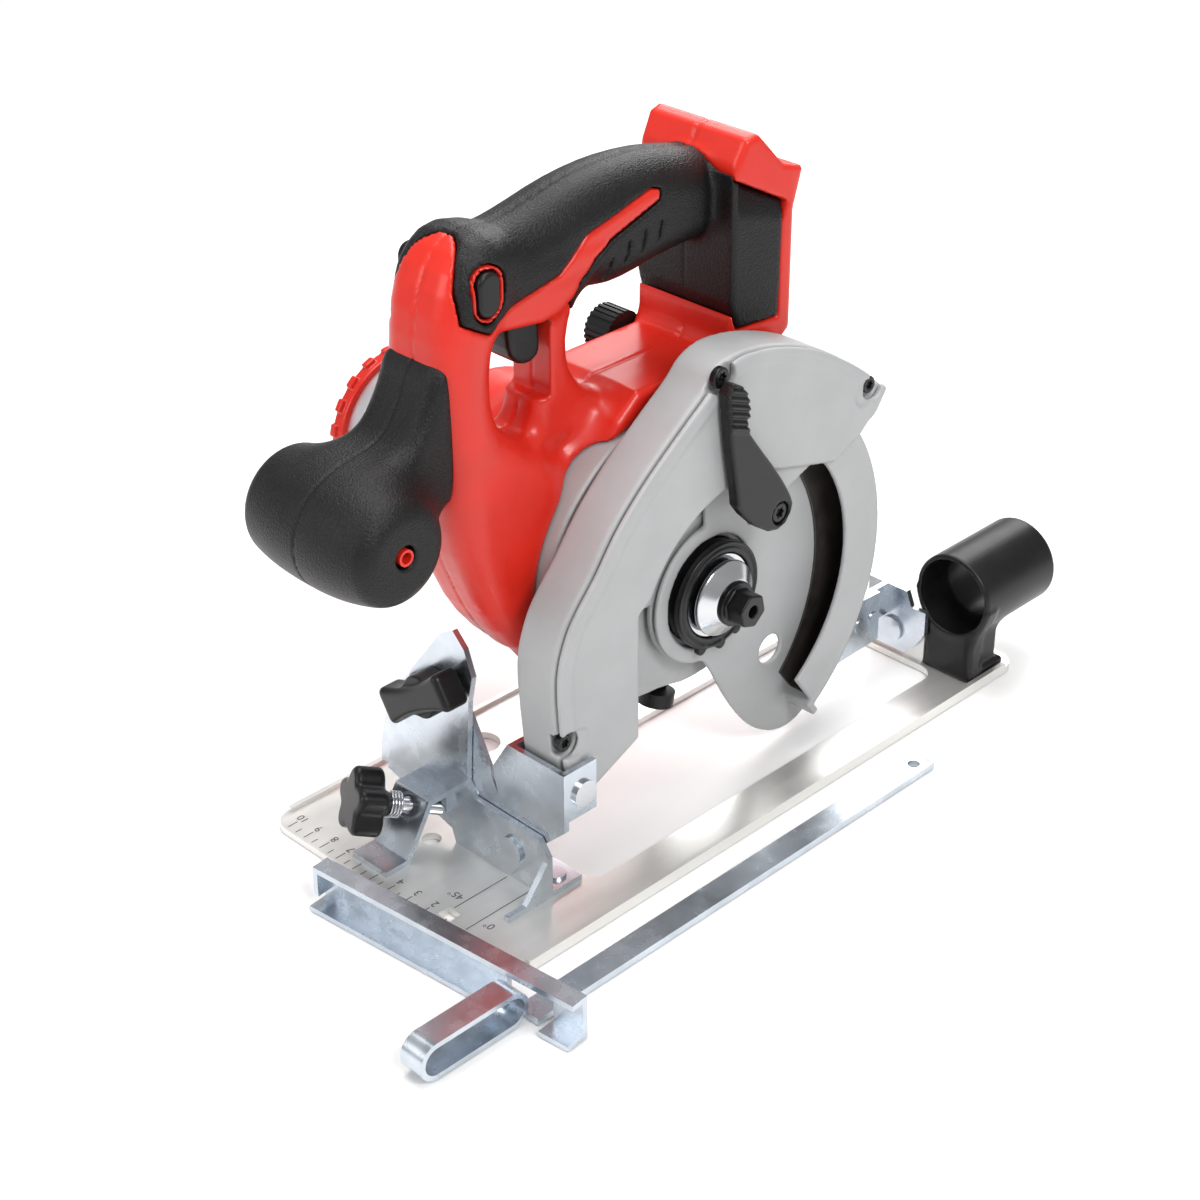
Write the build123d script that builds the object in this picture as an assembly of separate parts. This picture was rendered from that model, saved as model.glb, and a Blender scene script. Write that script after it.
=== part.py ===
"""Cordless circular saw with its shoe, tilt and depth brackets and loose edge guide.

Millimetres. The origin is on the sole of the shoe, on the cutting line, 20 mm behind the front edge.
+X points to the rear, -Y to the blade side (the user's left) and +Z up. The saw stands fully raised.
"""
from build123d import *
from math import atan2, ceil, cos, degrees, hypot, pi, radians, sin
import os

# ---- driving dimensions ----
GAP = 0.3                       # free space between curved faces of different bodies
RUN = 0.05                      # radial clearance of a running fit
SHEET = 2.5                     # steel brackets

SHOE_FRONT, SHOE_REAR = -20.0, 290.0
SHOE_LEFT, SHOE_RIGHT = -33.0, 109.0
SHOE_T, SHOE_RIM = 3.0, 5.0
WINDOW = (42.5, 256.0, -13.5, 54.0)     # x0, x1, y0, y1

BEVEL_Y, BEVEL_Z = 11.0, 16.5           # tilt axis, along X
BEVEL_PIN_R = 4.0
BEVEL_MAX = 45.0
WALL_X = 22.0                           # front face of the fixed front bracket
TILT_X = WALL_X + SHEET + GAP           # front face of the tilting plate behind it
REAR_TILT_X = 254.5
BOLT_Y, BOLT_Z = 51.0, 73.0             # tilt lock bolt

PIVOT_X, PIVOT_Z = 35.0, 50.0           # depth hinge, along Y, through the nose of the guard
PIVOT_R = 3.5
ARC_R, ARC_Y = 166.0, 12.0              # depth arc: slot radius about the hinge, and its near face
DEPTH_MAX = 32.5
CLAMP_ANGLE = 51.0                      # where the depth bolt sits on the arc with the saw raised
ARC_RIVETS_X = (233.0, 242.0)

SPIN_X, SPIN_Z = 127.0, 91.0            # blade spindle, along Y
MOTOR_X, MOTOR_Z = 95.0, 125.0          # motor shaft, along Y
GEAR_TEETH, PINION_TEETH = 65, 13
CENTRES = hypot(SPIN_X - MOTOR_X, SPIN_Z - MOTOR_Z)
MODULE = 2 * CENTRES / (GEAR_TEETH + PINION_TEETH)

GUARD_NEAR, GUARD_FAR = -12.0, 11.0     # outer faces of the blade guard
COVER_T, BACK_T = 2.6, 3.0
LOWER_R = 87.5                          # lower guard, outer radius
CAVITY_R = 91.0                         # room for it inside the upper guard
DISC_Y = 5.0                            # near face of the lower guard's disc

SPLIT_Y = 40.0                          # plane where the two housing halves meet
HALF_WIDTH = 18.0                       # of the front column and strut
STRUT_HALF = 11.0                       # of the strut behind the trigger
FOOT_HALF = 28.0                        # of the battery foot
SHELL = 2.6
BARREL_NEAR, BARREL_FAR = 27.0, 102.0   # red motor housing
BARREL_R0, BARREL_R1 = 61.0, 42.0
CAN_R, CAN_FAR = 29.0, 147.0
CAP_R, CAP_NEAR, CAP_FAR = 33.3, 144.5, 157.0

KNOB_X, KNOB_Z, KNOB_R, KNOB_HALF = -26.0, 167.0, 24.0, 32.0    # front handle, a bar along Y

PLATE_AT, PLATE_TILT = (7.0, 18.5), 30.0   # fence clamp plate: a point on it in x and z, and its lean
PLATE_NEAR, PLATE_FAR = 46.0, 66.0
SCREW_AT = (9.0, 55.6, 21.8)            # where the fence screw passes its bracket
SCREW_WAY = (0.8559, -0.4109, -0.3142)  # unit direction from its knob through the bracket
PORT_Y, PORT_Z, PORT_R, PORT_BORE = -17.0, 42.0, 19.3, 17.4
PORT_FRONT, PORT_REAR = 259.0, 308.0
PORT_SCREW = (269.0, -17.0)
FLANGE_Y = GUARD_NEAR + COVER_T + 0.7
HUB_R = 24.0
CLIP_R = 22.6
COLLAR_NECK_R = 21.9
LEVER_SCREW = (140.5, 130.0)
LOCK_AT = (117.0, 47.0)
BUTTON_AT = (27.5, 244.5)
BUTTON_R = 5.0
BEARING_R = 15.0
ARBOR_R = 6.0
GEAR_R = MODULE * GEAR_TEETH / 2


# ---- small builders ----
def block(x0, x1, y0, y1, z0, z1):
    return Pos((x0 + x1) / 2, (y0 + y1) / 2, (z0 + z1) / 2) * Box(x1 - x0, y1 - y0, z1 - z0)


def rod_x(y, z, r, x0, x1):
    return Pos((x0 + x1) / 2, y, z) * Rot(0, 90, 0) * Cylinder(r, x1 - x0)


def rod_y(x, z, r, y0, y1):
    return Pos(x, (y0 + y1) / 2, z) * Rot(-90, 0, 0) * Cylinder(r, y1 - y0)


def rod_z(x, y, r, z0, z1):
    return Pos(x, y, (z0 + z1) / 2) * Cylinder(r, z1 - z0)


def cone_y(x, z, r0, r1, y0, y1):
    return Pos(x, (y0 + y1) / 2, z) * Rot(-90, 0, 0) * Cone(r0, r1, y1 - y0)


def tube_y(x, z, r_out, r_in, y0, y1):
    return rod_y(x, z, r_out, y0, y1) - rod_y(x, z, r_in, y0 - 1, y1 + 1)


def slab_y(face, y0, y1):
    """A flat face drawn in X and Z, filled from y0 to y1."""
    return Pos(0, y0, 0) * extrude(Plane.XZ * face, amount=y1 - y0, dir=(0, 1, 0))


def slab_x(face, x0, x1):
    """A flat face drawn in Y and Z, filled from x0 to x1."""
    return Pos(x0, 0, 0) * extrude(Plane.YZ * face, amount=x1 - x0, dir=(1, 0, 0))


def poly(*points):
    return Polygon(*points, align=None)


def polar(centre, r, angle):
    return centre[0] + r * cos(radians(angle)), centre[1] + r * sin(radians(angle))


def sector(centre, r0, r1, a0, a1):
    """A ring segment between two radii and two angles."""
    mid = (a0 + a1) / 2
    p = [polar(centre, r, a) for r, a in ((r0, a0), (r1, a0), (r1, mid), (r1, a1), (r0, a1), (r0, mid))]
    return make_face([Line(p[0], p[1]), ThreePointArc(p[1], p[2], p[3]),
                      Line(p[3], p[4]), ThreePointArc(p[4], p[5], p[0])])


def bent_strip(points, y0, y1, thickness=SHEET):
    """Sheet metal seen from its edge: straight runs joined by round bends."""
    solid = None
    for (xa, za), (xb, zb) in zip(points, points[1:]):
        run = hypot(xb - xa, zb - za)
        leg = Pos((xa + xb) / 2, (y0 + y1) / 2, (za + zb) / 2) * Rot(0, -degrees(atan2(zb - za, xb - xa)), 0)
        leg = leg * Box(run, y1 - y0, thickness)
        solid = leg if solid is None else solid + leg
    for x, z in points[1:-1]:
        solid += rod_y(x, z, thickness / 2, y0, y1)
    return solid


def one(solids):
    """Several separate solids as one group."""
    return Compound(children=list(solids))


# ---- shoe ----
def shoe_plate():
    x0, x1, y0, y1 = WINDOW
    plate = block(SHOE_FRONT, SHOE_REAR, SHOE_LEFT, SHOE_RIGHT, 0, SHOE_T)
    plate = fillet(plate.edges().filter_by(Axis.Z), 9)
    opening = fillet(block(x0, x1, y0, y1, -1, 9).edges().filter_by(Axis.Z), 8)
    plate -= opening
    for y in (SHOE_LEFT, SHOE_RIGHT - 2.2):
        plate += block(SHOE_FRONT + 9, SHOE_REAR - 9, y, y + 2.2, 0, SHOE_RIM)
    upstand = slab_x(fillet(poly((-5, 0.5), (27, 0.5), (27, 26), (-5, 26)).vertices(), 6), 257.6, 260.2)
    plate += upstand + block(257.0, 262.0, -5, 27, 0, SHOE_T)
    plate -= rod_z(16.8, 52.8, 4, -1, 9) + rod_z(77.6, 89, 8, -1, 9)
    plate -= block(-14, -8, 8, 15, -1, 9)
    plate -= rod_x(BEVEL_Y, BEVEL_Z, BEVEL_PIN_R, 250, 270)
    for x, y in base_rivet_places():
        plate -= rod_z(x, y, 2.5, -1, 9)
    plate -= rod_z(PORT_SCREW[0], PORT_SCREW[1], 2.2, -1, 9)
    plate -= rod_z(PORT_SCREW[0], PORT_SCREW[1], 4.2, -1, 1.5)
    return plate


def base_rivet_places():
    return [(33.0, -2.0), (33.0, 20.0), (33.0, 38.0)]


def base_rivets():
    return one([rod_z(x, y, 2.5, 0.2, SHOE_T + SHEET) + rod_z(x, y, 4, SHOE_T + SHEET, SHOE_T + SHEET + 1.2)
                for x, y in base_rivet_places()])


def base_bracket():
    """Fixed front bracket: a foot flange, a low wall with the tilt pin and a tall ear with the lock bolt."""
    wall = poly((-9, 3), (-9, 22), (-4, 29), (32, 30), (36, 36), (33.5, 74), (31, 86), (35, 97), (41, 103),
                (49, 98), (58, 86), (67, 74), (74, 52), (82, 30), (84, 20), (60, 13), (46, 9), (44, 3))
    bracket = slab_x(wall, WALL_X, WALL_X + SHEET)
    bracket += block(WALL_X, 40, -9, 44, SHOE_T, SHOE_T + SHEET)
    bracket += block(1, WALL_X + SHEET, -9, -6.5, SHOE_T, SHOE_T + SHEET)
    bracket += slab_y(poly((10, 5), (WALL_X + 1, 5), (WALL_X + 1, 21)), -9, -6.5)
    bracket -= rod_x(BEVEL_Y, BEVEL_Z, BEVEL_PIN_R, WALL_X - 5, WALL_X + SHEET + 0.1)
    bracket -= rod_x(BOLT_Y, BOLT_Z, 3, WALL_X - 5, WALL_X + 5)
    for x, y in base_rivet_places():
        bracket -= rod_z(x, y, 2.5, 2, 9)
    return bracket


def bevel_pins():
    """Two shouldered rivets on one axis carry the tilting brackets."""
    front = rod_x(BEVEL_Y, BEVEL_Z, BEVEL_PIN_R, WALL_X, TILT_X + SHEET + 1)
    front += rod_x(BEVEL_Y, BEVEL_Z, 6, WALL_X - 1.5, WALL_X) + rod_x(BEVEL_Y, BEVEL_Z, 6, TILT_X + SHEET + 0.2, TILT_X + SHEET + 1.6)
    rear = rod_x(BEVEL_Y, BEVEL_Z, BEVEL_PIN_R, REAR_TILT_X - 1, 260.2)
    rear += rod_x(BEVEL_Y, BEVEL_Z, 6, REAR_TILT_X - 1.6, REAR_TILT_X - 0.2) + rod_x(BEVEL_Y, BEVEL_Z, 6, 260.2, 261.7)
    return one([front, rear])


def bevel_bolt():
    bolt = rod_x(BOLT_Y, BOLT_Z, 3, 9, TILT_X + SHEET + 0.2)
    return bolt + rod_x(BOLT_Y, BOLT_Z, 6.5, TILT_X + SHEET + 0.2, TILT_X + SHEET + 3)


def bevel_lock_knob():
    """Oval wing knob on the tilt lock bolt."""
    wing = Rectangle(50, 17) - Pos(0, 17.5) * Circle(12) - Pos(0, -17.5) * Circle(12)
    body = extrude(fillet(wing.vertices(), 3), amount=12)
    body = fillet(body.edges().group_by(Axis.Z)[-1], 2.5)
    body = Rot(0, 0, 32) * (body + Pos(0, 0, -2) * Cylinder(9, 5))
    body = Plane(origin=(WALL_X - 4.6, BOLT_Y, BOLT_Z), x_dir=(0, 1, 0), z_dir=(-1, 0, 0)) * body
    return body - rod_x(BOLT_Y, BOLT_Z, 3 + RUN, 8.5, 30)


# ---- fence clamp ----
def screw_plane(along=0.0):
    """A frame on the fence screw's axis; its z runs from the knob through the bracket."""
    at = tuple(p + along * q for p, q in zip(SCREW_AT, SCREW_WAY))
    return Plane(origin=at, x_dir=(0.4328, 0.9015, 0), z_dir=SCREW_WAY)


def fence_clamp_bracket():
    tilt = radians(PLATE_TILT)
    x, z = PLATE_AT
    top = (x + sin(tilt) * 9, z + cos(tilt) * 9)
    down = (z - SHOE_T - SHEET / 2) / cos(tilt)
    foot = (x - sin(tilt) * down, SHOE_T + SHEET / 2)
    bracket = bent_strip([(WALL_X - SHEET / 2, top[1]), top, foot, (-13, foot[1])], PLATE_NEAR, PLATE_FAR)
    bracket += block(WALL_X - SHEET, WALL_X, PLATE_NEAR, PLATE_FAR, 17, top[1] + SHEET / 2)
    return bracket - screw_plane() * Cylinder(3.4, 44)


def fence_clamp_knob():
    star = Circle(9.5)
    for i in range(5):
        star += Rot(0, 0, 72 * i) * Pos(9.5, 0) * Circle(5)
    body = extrude(star, amount=13)
    body = fillet(body.edges().group_by(Axis.Z)[0], 2)
    body += Pos(0, 0, 14.5) * Cylinder(5, 3)
    return screw_plane(-26) * (body - Pos(0, 0, 12) * Cylinder(3, 10))


def fence_clamp_screw():
    return screw_plane(-19) * Pos(0, 0, 16) * Cylinder(3, 32)


def fence_clamp_spring():
    """Compression spring between the knob's collar and the bracket."""
    coil = Helix(pitch=2.2, height=4.4, radius=4.9)
    wire = Plane(origin=coil @ 0, z_dir=coil % 0) * Circle(0.5)
    return screw_plane(-9.3) * sweep(wire, path=coil)


# ---- dust port ----
def dust_port():
    tube = rod_x(PORT_Y, PORT_Z, PORT_R, PORT_FRONT, PORT_REAR)
    tube += block(PORT_FRONT, 279, PORT_Y - 11.5, PORT_Y + 11.5, SHOE_T, PORT_Z)
    tube += block(PORT_FRONT, 283, PORT_Y - 13, PORT_Y + 11.5, SHOE_T, SHOE_T + 4)
    tube -= rod_x(PORT_Y, PORT_Z, PORT_BORE, PORT_FRONT - 1, PORT_REAR + 1)
    return tube - rod_z(PORT_SCREW[0], PORT_SCREW[1], 2.2, 0, 18)


def dust_port_screw():
    x, y = PORT_SCREW
    return rod_z(x, y, 2.2, 1.4, 15) + rod_z(x, y, 4.1, 0.2, 1.4)


# ---- tilting carriage ----
def front_tilt_bracket():
    centre = (BEVEL_Y, BEVEL_Z)
    slot_r = hypot(BOLT_Y - BEVEL_Y, BOLT_Z - BEVEL_Z)
    slot_a = degrees(atan2(BOLT_Z - BEVEL_Z, BOLT_Y - BEVEL_Y))
    face = Pos(*centre) * Circle(10.5) + sector(centre, 8, slot_r + 11, 2, slot_a + 8)
    face += poly((1.2, 20), (-15.5, 36), (-15.5, 62), (15.3, 62), (24, 48), (18, 22))
    face -= sector(centre, slot_r - 3.4, slot_r + 3.4, slot_a - BEVEL_MAX - 3, slot_a + 3)
    face -= sector(centre, 26, slot_r - 13, 8, 34)
    bracket = slab_x(face, TILT_X, TILT_X + SHEET)
    for y in (-15.5, 12.8):
        bracket += block(TILT_X, 42, y, y + SHEET, 40, 62)
    bracket -= rod_x(BEVEL_Y, BEVEL_Z, BEVEL_PIN_R + RUN, 20, 40)
    return bracket - rod_y(PIVOT_X, PIVOT_Z, PIVOT_R, -30, 30)


def depth_pivot_pin():
    pin = rod_y(PIVOT_X, PIVOT_Z, PIVOT_R, -16.5, 16.3)
    return pin + rod_y(PIVOT_X, PIVOT_Z, 5.5, -17.0, -15.5) + rod_y(PIVOT_X, PIVOT_Z, 5.5, 15.3, 17)


def rear_tilt_bracket():
    """Rear ear on the tilt axis, folded forward into the depth arc's root."""
    ear = poly((-2, 12), (3, 7), (24, 7), (25, 12), (25, 38), (4, 38), (1, 31), (-7, 31), (-7, 20))
    bracket = slab_x(ear, REAR_TILT_X, REAR_TILT_X + SHEET)
    bracket += block(228, REAR_TILT_X + 1, ARC_Y + SHEET, ARC_Y + 2 * SHEET, 22.2, 38)
    for x in ARC_RIVETS_X:
        bracket -= rod_y(x, 26, 2, 0, 40)
    return bracket - rod_x(BEVEL_Y, BEVEL_Z, BEVEL_PIN_R + RUN, 250, 260)


def depth_arc():
    """Slotted arc about the depth hinge, with a straight root riveted to the rear bracket."""
    centre = (PIVOT_X, PIVOT_Z)
    face = sector(centre, ARC_R - 9, ARC_R + 9, -14, CLAMP_ANGLE + 4)
    face += poly((188, 12), (246, 14), (246, 38), (200, 40))
    face -= sector(centre, ARC_R - 3.3, ARC_R + 3.3, CLAMP_ANGLE - DEPTH_MAX - 2, CLAMP_ANGLE + 1.4)
    arc = slab_y(face, ARC_Y, ARC_Y + SHEET)
    for x in ARC_RIVETS_X:
        arc -= rod_y(x, 26, 2, 0, 40)
    return arc


def arc_rivets():
    return one([rod_y(x, 26, 2, ARC_Y - 0.6, ARC_Y + 2 * SHEET + 1.2) + rod_y(x, 26, 3.4, ARC_Y - 0.6, ARC_Y)
                for x in ARC_RIVETS_X])


# ---- edge guide, lying loose on the floor ----
def guide_bar():
    bar = block(-29.8, 200, -57, -46, 0, 3)
    return bar - rod_z(193, -51.5, 2.6, -1, 9)


def guide_fence():
    """Channel with a top lip, turned by a few degrees."""
    section = block(-4, 4, -65, 65, 16.6, 19) + block(1.6, 4, -65, 65, 0, 17) + block(-7, 4, -65, 65, 0, 2.2)
    section += block(-4, 4, 62.8, 65, 6, 19)
    section -= block(-20, 20, -51, -29, -1, 16.45)
    return Pos(-31.5, -9.5, 0) * Rot(0, 0, 5.4) * section


def guide_arm():
    """U-shaped stamping that joins the bar and the fence."""
    outline = SlotOverall(52, 16)
    body = extrude(outline, amount=11) - Pos(0, 0, 2.2) * extrude(SlotOverall(47.6, 11.6), amount=11)
    body = Plane(origin=(-56, -41.5, 8.2), x_dir=(1, 0, 0), z_dir=(0, -1, 0)) * body
    return body


def guide_rivets():
    return one([rod_y(-74, 8.2, 2.4, -46.5, -43.7), rod_y(-40, 8.2, 2.4, -46.5, -43.7)])


# ---- guards ----
def guard_outline():
    """Side view of the upper guard, with the round throat that frees the blade flange."""
    hub = (SPIN_X, SPIN_Z)
    throat0, throat1, throat2 = polar(hub, 56, 154), polar(hub, 52, 110), polar(hub, 57, 68)
    return make_face([
        Polyline((70, 56), (39, 42), (33, 43), (28.6, 64), (24.6, 96), (24.5, 117)),
        ThreePointArc((24.5, 117), (32, 136), (54, 155)),
        Polyline((54, 155), (106, 195.5)),
        ThreePointArc((106, 195.5), (112, 198.6), (120, 199.6)),
        ThreePointArc((120, 199.6), (167, 188.5), (212, 157)),
        Polyline((212, 157), (197, 141), (181, 134), throat2),
        ThreePointArc(throat2, throat1, throat0),
        Polyline(throat0, (70, 111), (70, 56)),
    ])


def upper_guard():
    """Casting: back wall and the wall over the blade, open below."""
    cover_back = GUARD_NEAR + COVER_T
    guard = slab_y(guard_outline(), cover_back, GUARD_FAR)
    back = Pos(SPIN_X, SPIN_Z) * Circle(58) & poly((60, 100), (200, 100), (200, 170), (60, 170))
    guard += slab_y(back + Pos(SPIN_X, SPIN_Z) * Circle(31), GUARD_FAR - BACK_T, GUARD_FAR)
    guard -= rod_y(SPIN_X, SPIN_Z, CAVITY_R, cover_back - 1, GUARD_FAR - BACK_T)
    guard -= rod_y(SPIN_X, SPIN_Z, COLLAR_NECK_R, -20, 20)
    guard -= rod_y(PIVOT_X, PIVOT_Z, PIVOT_R + RUN, -20, 20)
    for x, z in cover_screw_places():
        guard -= rod_y(x, z, 2, cover_back - 1, cover_back + 8)
    clamp = polar((PIVOT_X, PIVOT_Z), ARC_R, CLAMP_ANGLE)
    return guard - rod_y(*clamp, 3, 0, 20)


def cover_screw_places():
    return [(31.0, 72.0), (202.0, 160.5)]


def guard_cover():
    """Outer wall of the guard, thicker along its border and behind the lever."""
    cover = slab_y(guard_outline(), GUARD_NEAR, GUARD_NEAR + COVER_T)
    cover -= rod_y(PIVOT_X, PIVOT_Z, PIVOT_R + RUN, -20, 20)
    for x, z in cover_screw_places():
        cover -= rod_y(x, z, 2.1, -20, 0)
    return cover


def cover_screws():
    return one([rod_y(x, z, 2, GUARD_NEAR, GUARD_NEAR + COVER_T + 7) + rod_y(x, z, 3.6, GUARD_NEAR - 1.6, GUARD_NEAR)
                for x, z in cover_screw_places()])


def lower_guard():
    """Sprung guard: a disc on the motor side, a rim, an outer flange and the arm for the lever."""
    hub = (SPIN_X, SPIN_Z)
    start, end = -56.0, 62.0
    rim = slab_y(sector(hub, LOWER_R - 3, LOWER_R, start, end), FLANGE_Y, DISC_Y + 2)
    flange = sector(hub, 67, LOWER_R - 1, start + 3, end + 14)
    arm = poly(polar(hub, 68, 44), polar(hub, 68, 76), polar(hub, 50, 78), polar(hub, 33, 78), polar(hub, 33, 58),
               polar(hub, 50, 54))
    outer = slab_y(flange + arm, FLANGE_Y, FLANGE_Y + 2.4)
    lobe = poly((126, 60), (131, 48), (138, 35), (149, 19), (159, 10), (171, 3.2), (183, 3.2), (192, 10), (186, 30), (150, 80))
    disc = Pos(*hub) * Circle(31) + sector(hub, 20, LOWER_R - 1, start - 4, 96) + lobe
    disc -= Pos(164.6, 47.4) * Circle(6.5) + Pos(*hub) * Circle(HUB_R + RUN)
    lip = slab_y(sector(hub, LOWER_R - 3, LOWER_R + 5, start, start + 2.2), FLANGE_Y, DISC_Y + 2)
    guard = slab_y(disc, DISC_Y, DISC_Y + 2) + rim + outer + lip
    return guard - rod_y(*LEVER_SCREW, 2, -30, 0)




def guard_lever():
    outline = poly((105, 197), (119, 192), (124.5, 179), (122, 174), (138, 151), (148, 136), (149, 129), (142, 122.5),
                   (131, 125), (115, 140), (114, 145), (108, 173))
    lever = slab_y(outline, -19.5, GUARD_NEAR - 0.8)
    lever += rod_y(*LEVER_SCREW, 8, GUARD_NEAR - 1, FLANGE_Y)
    lever -= rod_y(*LEVER_SCREW, 2, -30, 0) + rod_y(*LEVER_SCREW, 4.2, -30, -15.4)
    for i in range(5):
        lever -= block(100, 140, -21, -18.9, 177.5 + 2.8 * i, 178.9 + 2.8 * i)
    return lever


def lever_screw():
    return rod_y(*LEVER_SCREW, 2, -15.4, FLANGE_Y + 2.4) + rod_y(*LEVER_SCREW, 4.1, -17.5, -15.4)


def hub_collar():
    """Fixed sleeve on the gear case that the lower guard turns on."""
    back = GUARD_FAR - BACK_T
    collar = tube_y(SPIN_X, SPIN_Z, HUB_R, 18.2, 1.4, back) + tube_y(SPIN_X, SPIN_Z, COLLAR_NECK_R, 18.2, back - 1, 14)
    collar += tube_y(SPIN_X, SPIN_Z, 19, BEARING_R, 6.1, 14)
    return collar - tube_y(SPIN_X, SPIN_Z, HUB_R + 2, CLIP_R, 2.3, 3.9)


def hub_circlip():
    ring = tube_y(SPIN_X, SPIN_Z, 27, CLIP_R, 2.3, 3.9)
    for x in (-7.5, 1.5):
        ring += rod_y(SPIN_X + x, SPIN_Z - 28, 3, 2.3, 3.9)
    return ring


# ---- gear case and drive ----
def gear_case():
    """Grey casting between the guard and the motor, hollow for the gear pair."""
    hub = (SPIN_X, SPIN_Z)
    case = rod_y(107, 112, 57, GUARD_FAR, BARREL_NEAR + 3) + rod_y(*hub, 45, GUARD_FAR, BARREL_NEAR)
    case += rod_y(MOTOR_X, MOTOR_Z, 20, BARREL_NEAR, 40)
    case -= rod_y(*hub, GEAR_R + 3, 14, BARREL_NEAR - 3) + rod_y(MOTOR_X, MOTOR_Z, 12, 14, BARREL_NEAR - 3)
    case -= rod_y(*hub, COLLAR_NECK_R, 0, 15) + rod_y(*hub, ARBOR_R + RUN, 20, 28.5)
    case -= rod_y(MOTOR_X, MOTOR_Z, 5, 20, 50) + rod_y(MOTOR_X, MOTOR_Z, 11, 31, 60)
    return case - lock_plane() * Pos(0, 0, 6) * Box(10.8, 1.8, 22)




def bearing(x, z, r_out, r_in, y0, y1):
    """A sealed ball bearing as its two races and shield."""
    return tube_y(x, z, r_out, r_in, y0, y1) - tube_y(x, z, r_out - 2, r_in + 2, y0 - 1, y0 + 0.6)


def spindle_bearing():
    return bearing(SPIN_X, SPIN_Z, BEARING_R, ARBOR_R + RUN, 6.5, 13.5)


def gear_wheel(teeth, module, y0, y1, bore, phase):
    """Spur gear with straight-flanked teeth; phase turns the first tooth to an angle."""
    pitch = module * teeth / 2
    root, tip = pitch - 1.2 * module, pitch + 0.85 * module
    step = 360 / teeth
    face = Circle(root)
    half_root, half_tip = 0.29 * step * pitch / root, 0.12 * step * pitch / tip
    for i in range(teeth):
        a = phase + i * step
        face += poly(*[polar((0, 0), r, a + s) for r, s in
                       ((root - 0.3, -half_root), (tip, -half_tip), (tip, half_tip), (root - 0.3, half_root))])
    return slab_y(face - Circle(bore), y0, y1)


def spindle_gear():
    to_motor = degrees(atan2(MOTOR_Z - SPIN_Z, MOTOR_X - SPIN_X))
    gear = gear_wheel(GEAR_TEETH, MODULE, 15, 22, ARBOR_R, to_motor + 180 / GEAR_TEETH)
    return Pos(SPIN_X, 0, SPIN_Z) * (gear - tube_y(0, 0, 28, 14, 14, 16.5))


def pinion():
    to_spindle = degrees(atan2(SPIN_Z - MOTOR_Z, SPIN_X - MOTOR_X))
    return Pos(MOTOR_X, 0, MOTOR_Z) * gear_wheel(PINION_TEETH, MODULE, 14.6, 23, 3.5, to_spindle)


def arbor():
    shaft = rod_y(SPIN_X, SPIN_Z, ARBOR_R, -1.0, 28)
    return shaft - rod_y(SPIN_X, SPIN_Z, 3.4, -5, 14)


def inner_flange():
    return tube_y(SPIN_X, SPIN_Z, 17.5, ARBOR_R, 0.9, 5.5)


def outer_flange():
    flange = cone_y(SPIN_X, SPIN_Z, 11, 17.5, -7, -2.4) + rod_y(SPIN_X, SPIN_Z, 17.5, -2.4, -1.0)
    return flange - rod_y(SPIN_X, SPIN_Z, 3.5, -20, 5)


def blade_bolt():
    bolt = rod_y(SPIN_X, SPIN_Z, 3.4, -8, 12) + rod_y(SPIN_X, SPIN_Z, 9.5, -9.5, -7)
    head = Plane(origin=(SPIN_X, -9.5, SPIN_Z), x_dir=(1, 0, 0), z_dir=(0, -1, 0)) * extrude(RegularPolygon(7.5, 6), amount=8)
    return bolt + head - rod_y(SPIN_X, SPIN_Z, 2.6, -20, -13)


# ---- motor ----
def motor_can():
    can = tube_y(MOTOR_X, MOTOR_Z, CAN_R, CAN_R - 2.2, 62, CAN_FAR)
    return can


def motor_magnets():
    arc = sector((MOTOR_X, MOTOR_Z), CAN_R - 6.4, CAN_R - 2.2, -38, 38)
    return one([slab_y(arc, 70, 122), slab_y(arc.rotate(Axis((MOTOR_X, MOTOR_Z, 0), (0, 0, 1)), 180), 70, 122)])


def armature():
    x, z = MOTOR_X, MOTOR_Z
    core = rod_y(x, z, CAN_R - 7.4, 74, 118)
    for i in range(12):
        slot = block(CAN_R - 12, CAN_R, 73, 119, -1.1, 1.1)
        core -= Pos(x, 0, z) * Rot(0, 30 * i, 0) * slot
    shaft = rod_y(x, z, 3.5, 14.2, 152)
    return core + shaft + rod_y(x, z, 10.5, 122, 134)


def cooling_fan():
    x, z = MOTOR_X, MOTOR_Z
    fan = tube_y(x, z, 27, 3.5, 52, 54) + tube_y(x, z, 8, 3.5, 52, 62)
    for i in range(14):
        fan += Pos(x, 0, z) * Rot(0, 360 / 14 * i, 0) * block(7, 26.5, 53, 60, -0.7, 0.7)
    return fan


def motor_bearings():
    return one([bearing(MOTOR_X, MOTOR_Z, 11, 3.5 + RUN, 31, 38), bearing(MOTOR_X, MOTOR_Z, 9, 3.5 + RUN, 142, 149)])


def motor_end_cap():
    """Red end cap: a finned ring on the can, closed by a hub with the rear bearing."""
    x, z = MOTOR_X, MOTOR_Z
    cap = rod_y(x, z, CAP_R, CAP_NEAR, CAP_FAR) - rod_y(x, z, CAP_R - 3, CAN_FAR, CAP_FAR - 3)
    cap -= rod_y(x, z, CAN_R, CAP_NEAR - 1, CAN_FAR)
    cap += tube_y(x, z, 12, 9, CAN_FAR - 5, CAP_FAR - 2)
    for i in range(10):
        cap -= Pos(x, 0, z) * Rot(0, 36 * i + 8, 0) * block(CAP_R - 5, CAP_R + 5, CAN_FAR + 1.5, CAP_FAR - 4, -2.2, 2.2)
        cap += Pos(x, 0, z) * Rot(0, 36 * i + 26, 0) * block(11, CAP_R - 2, CAN_FAR + 2, CAP_FAR - 2, -1, 1)
    return cap - rod_y(x, z, 4.2, 130, 154.5)


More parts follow.
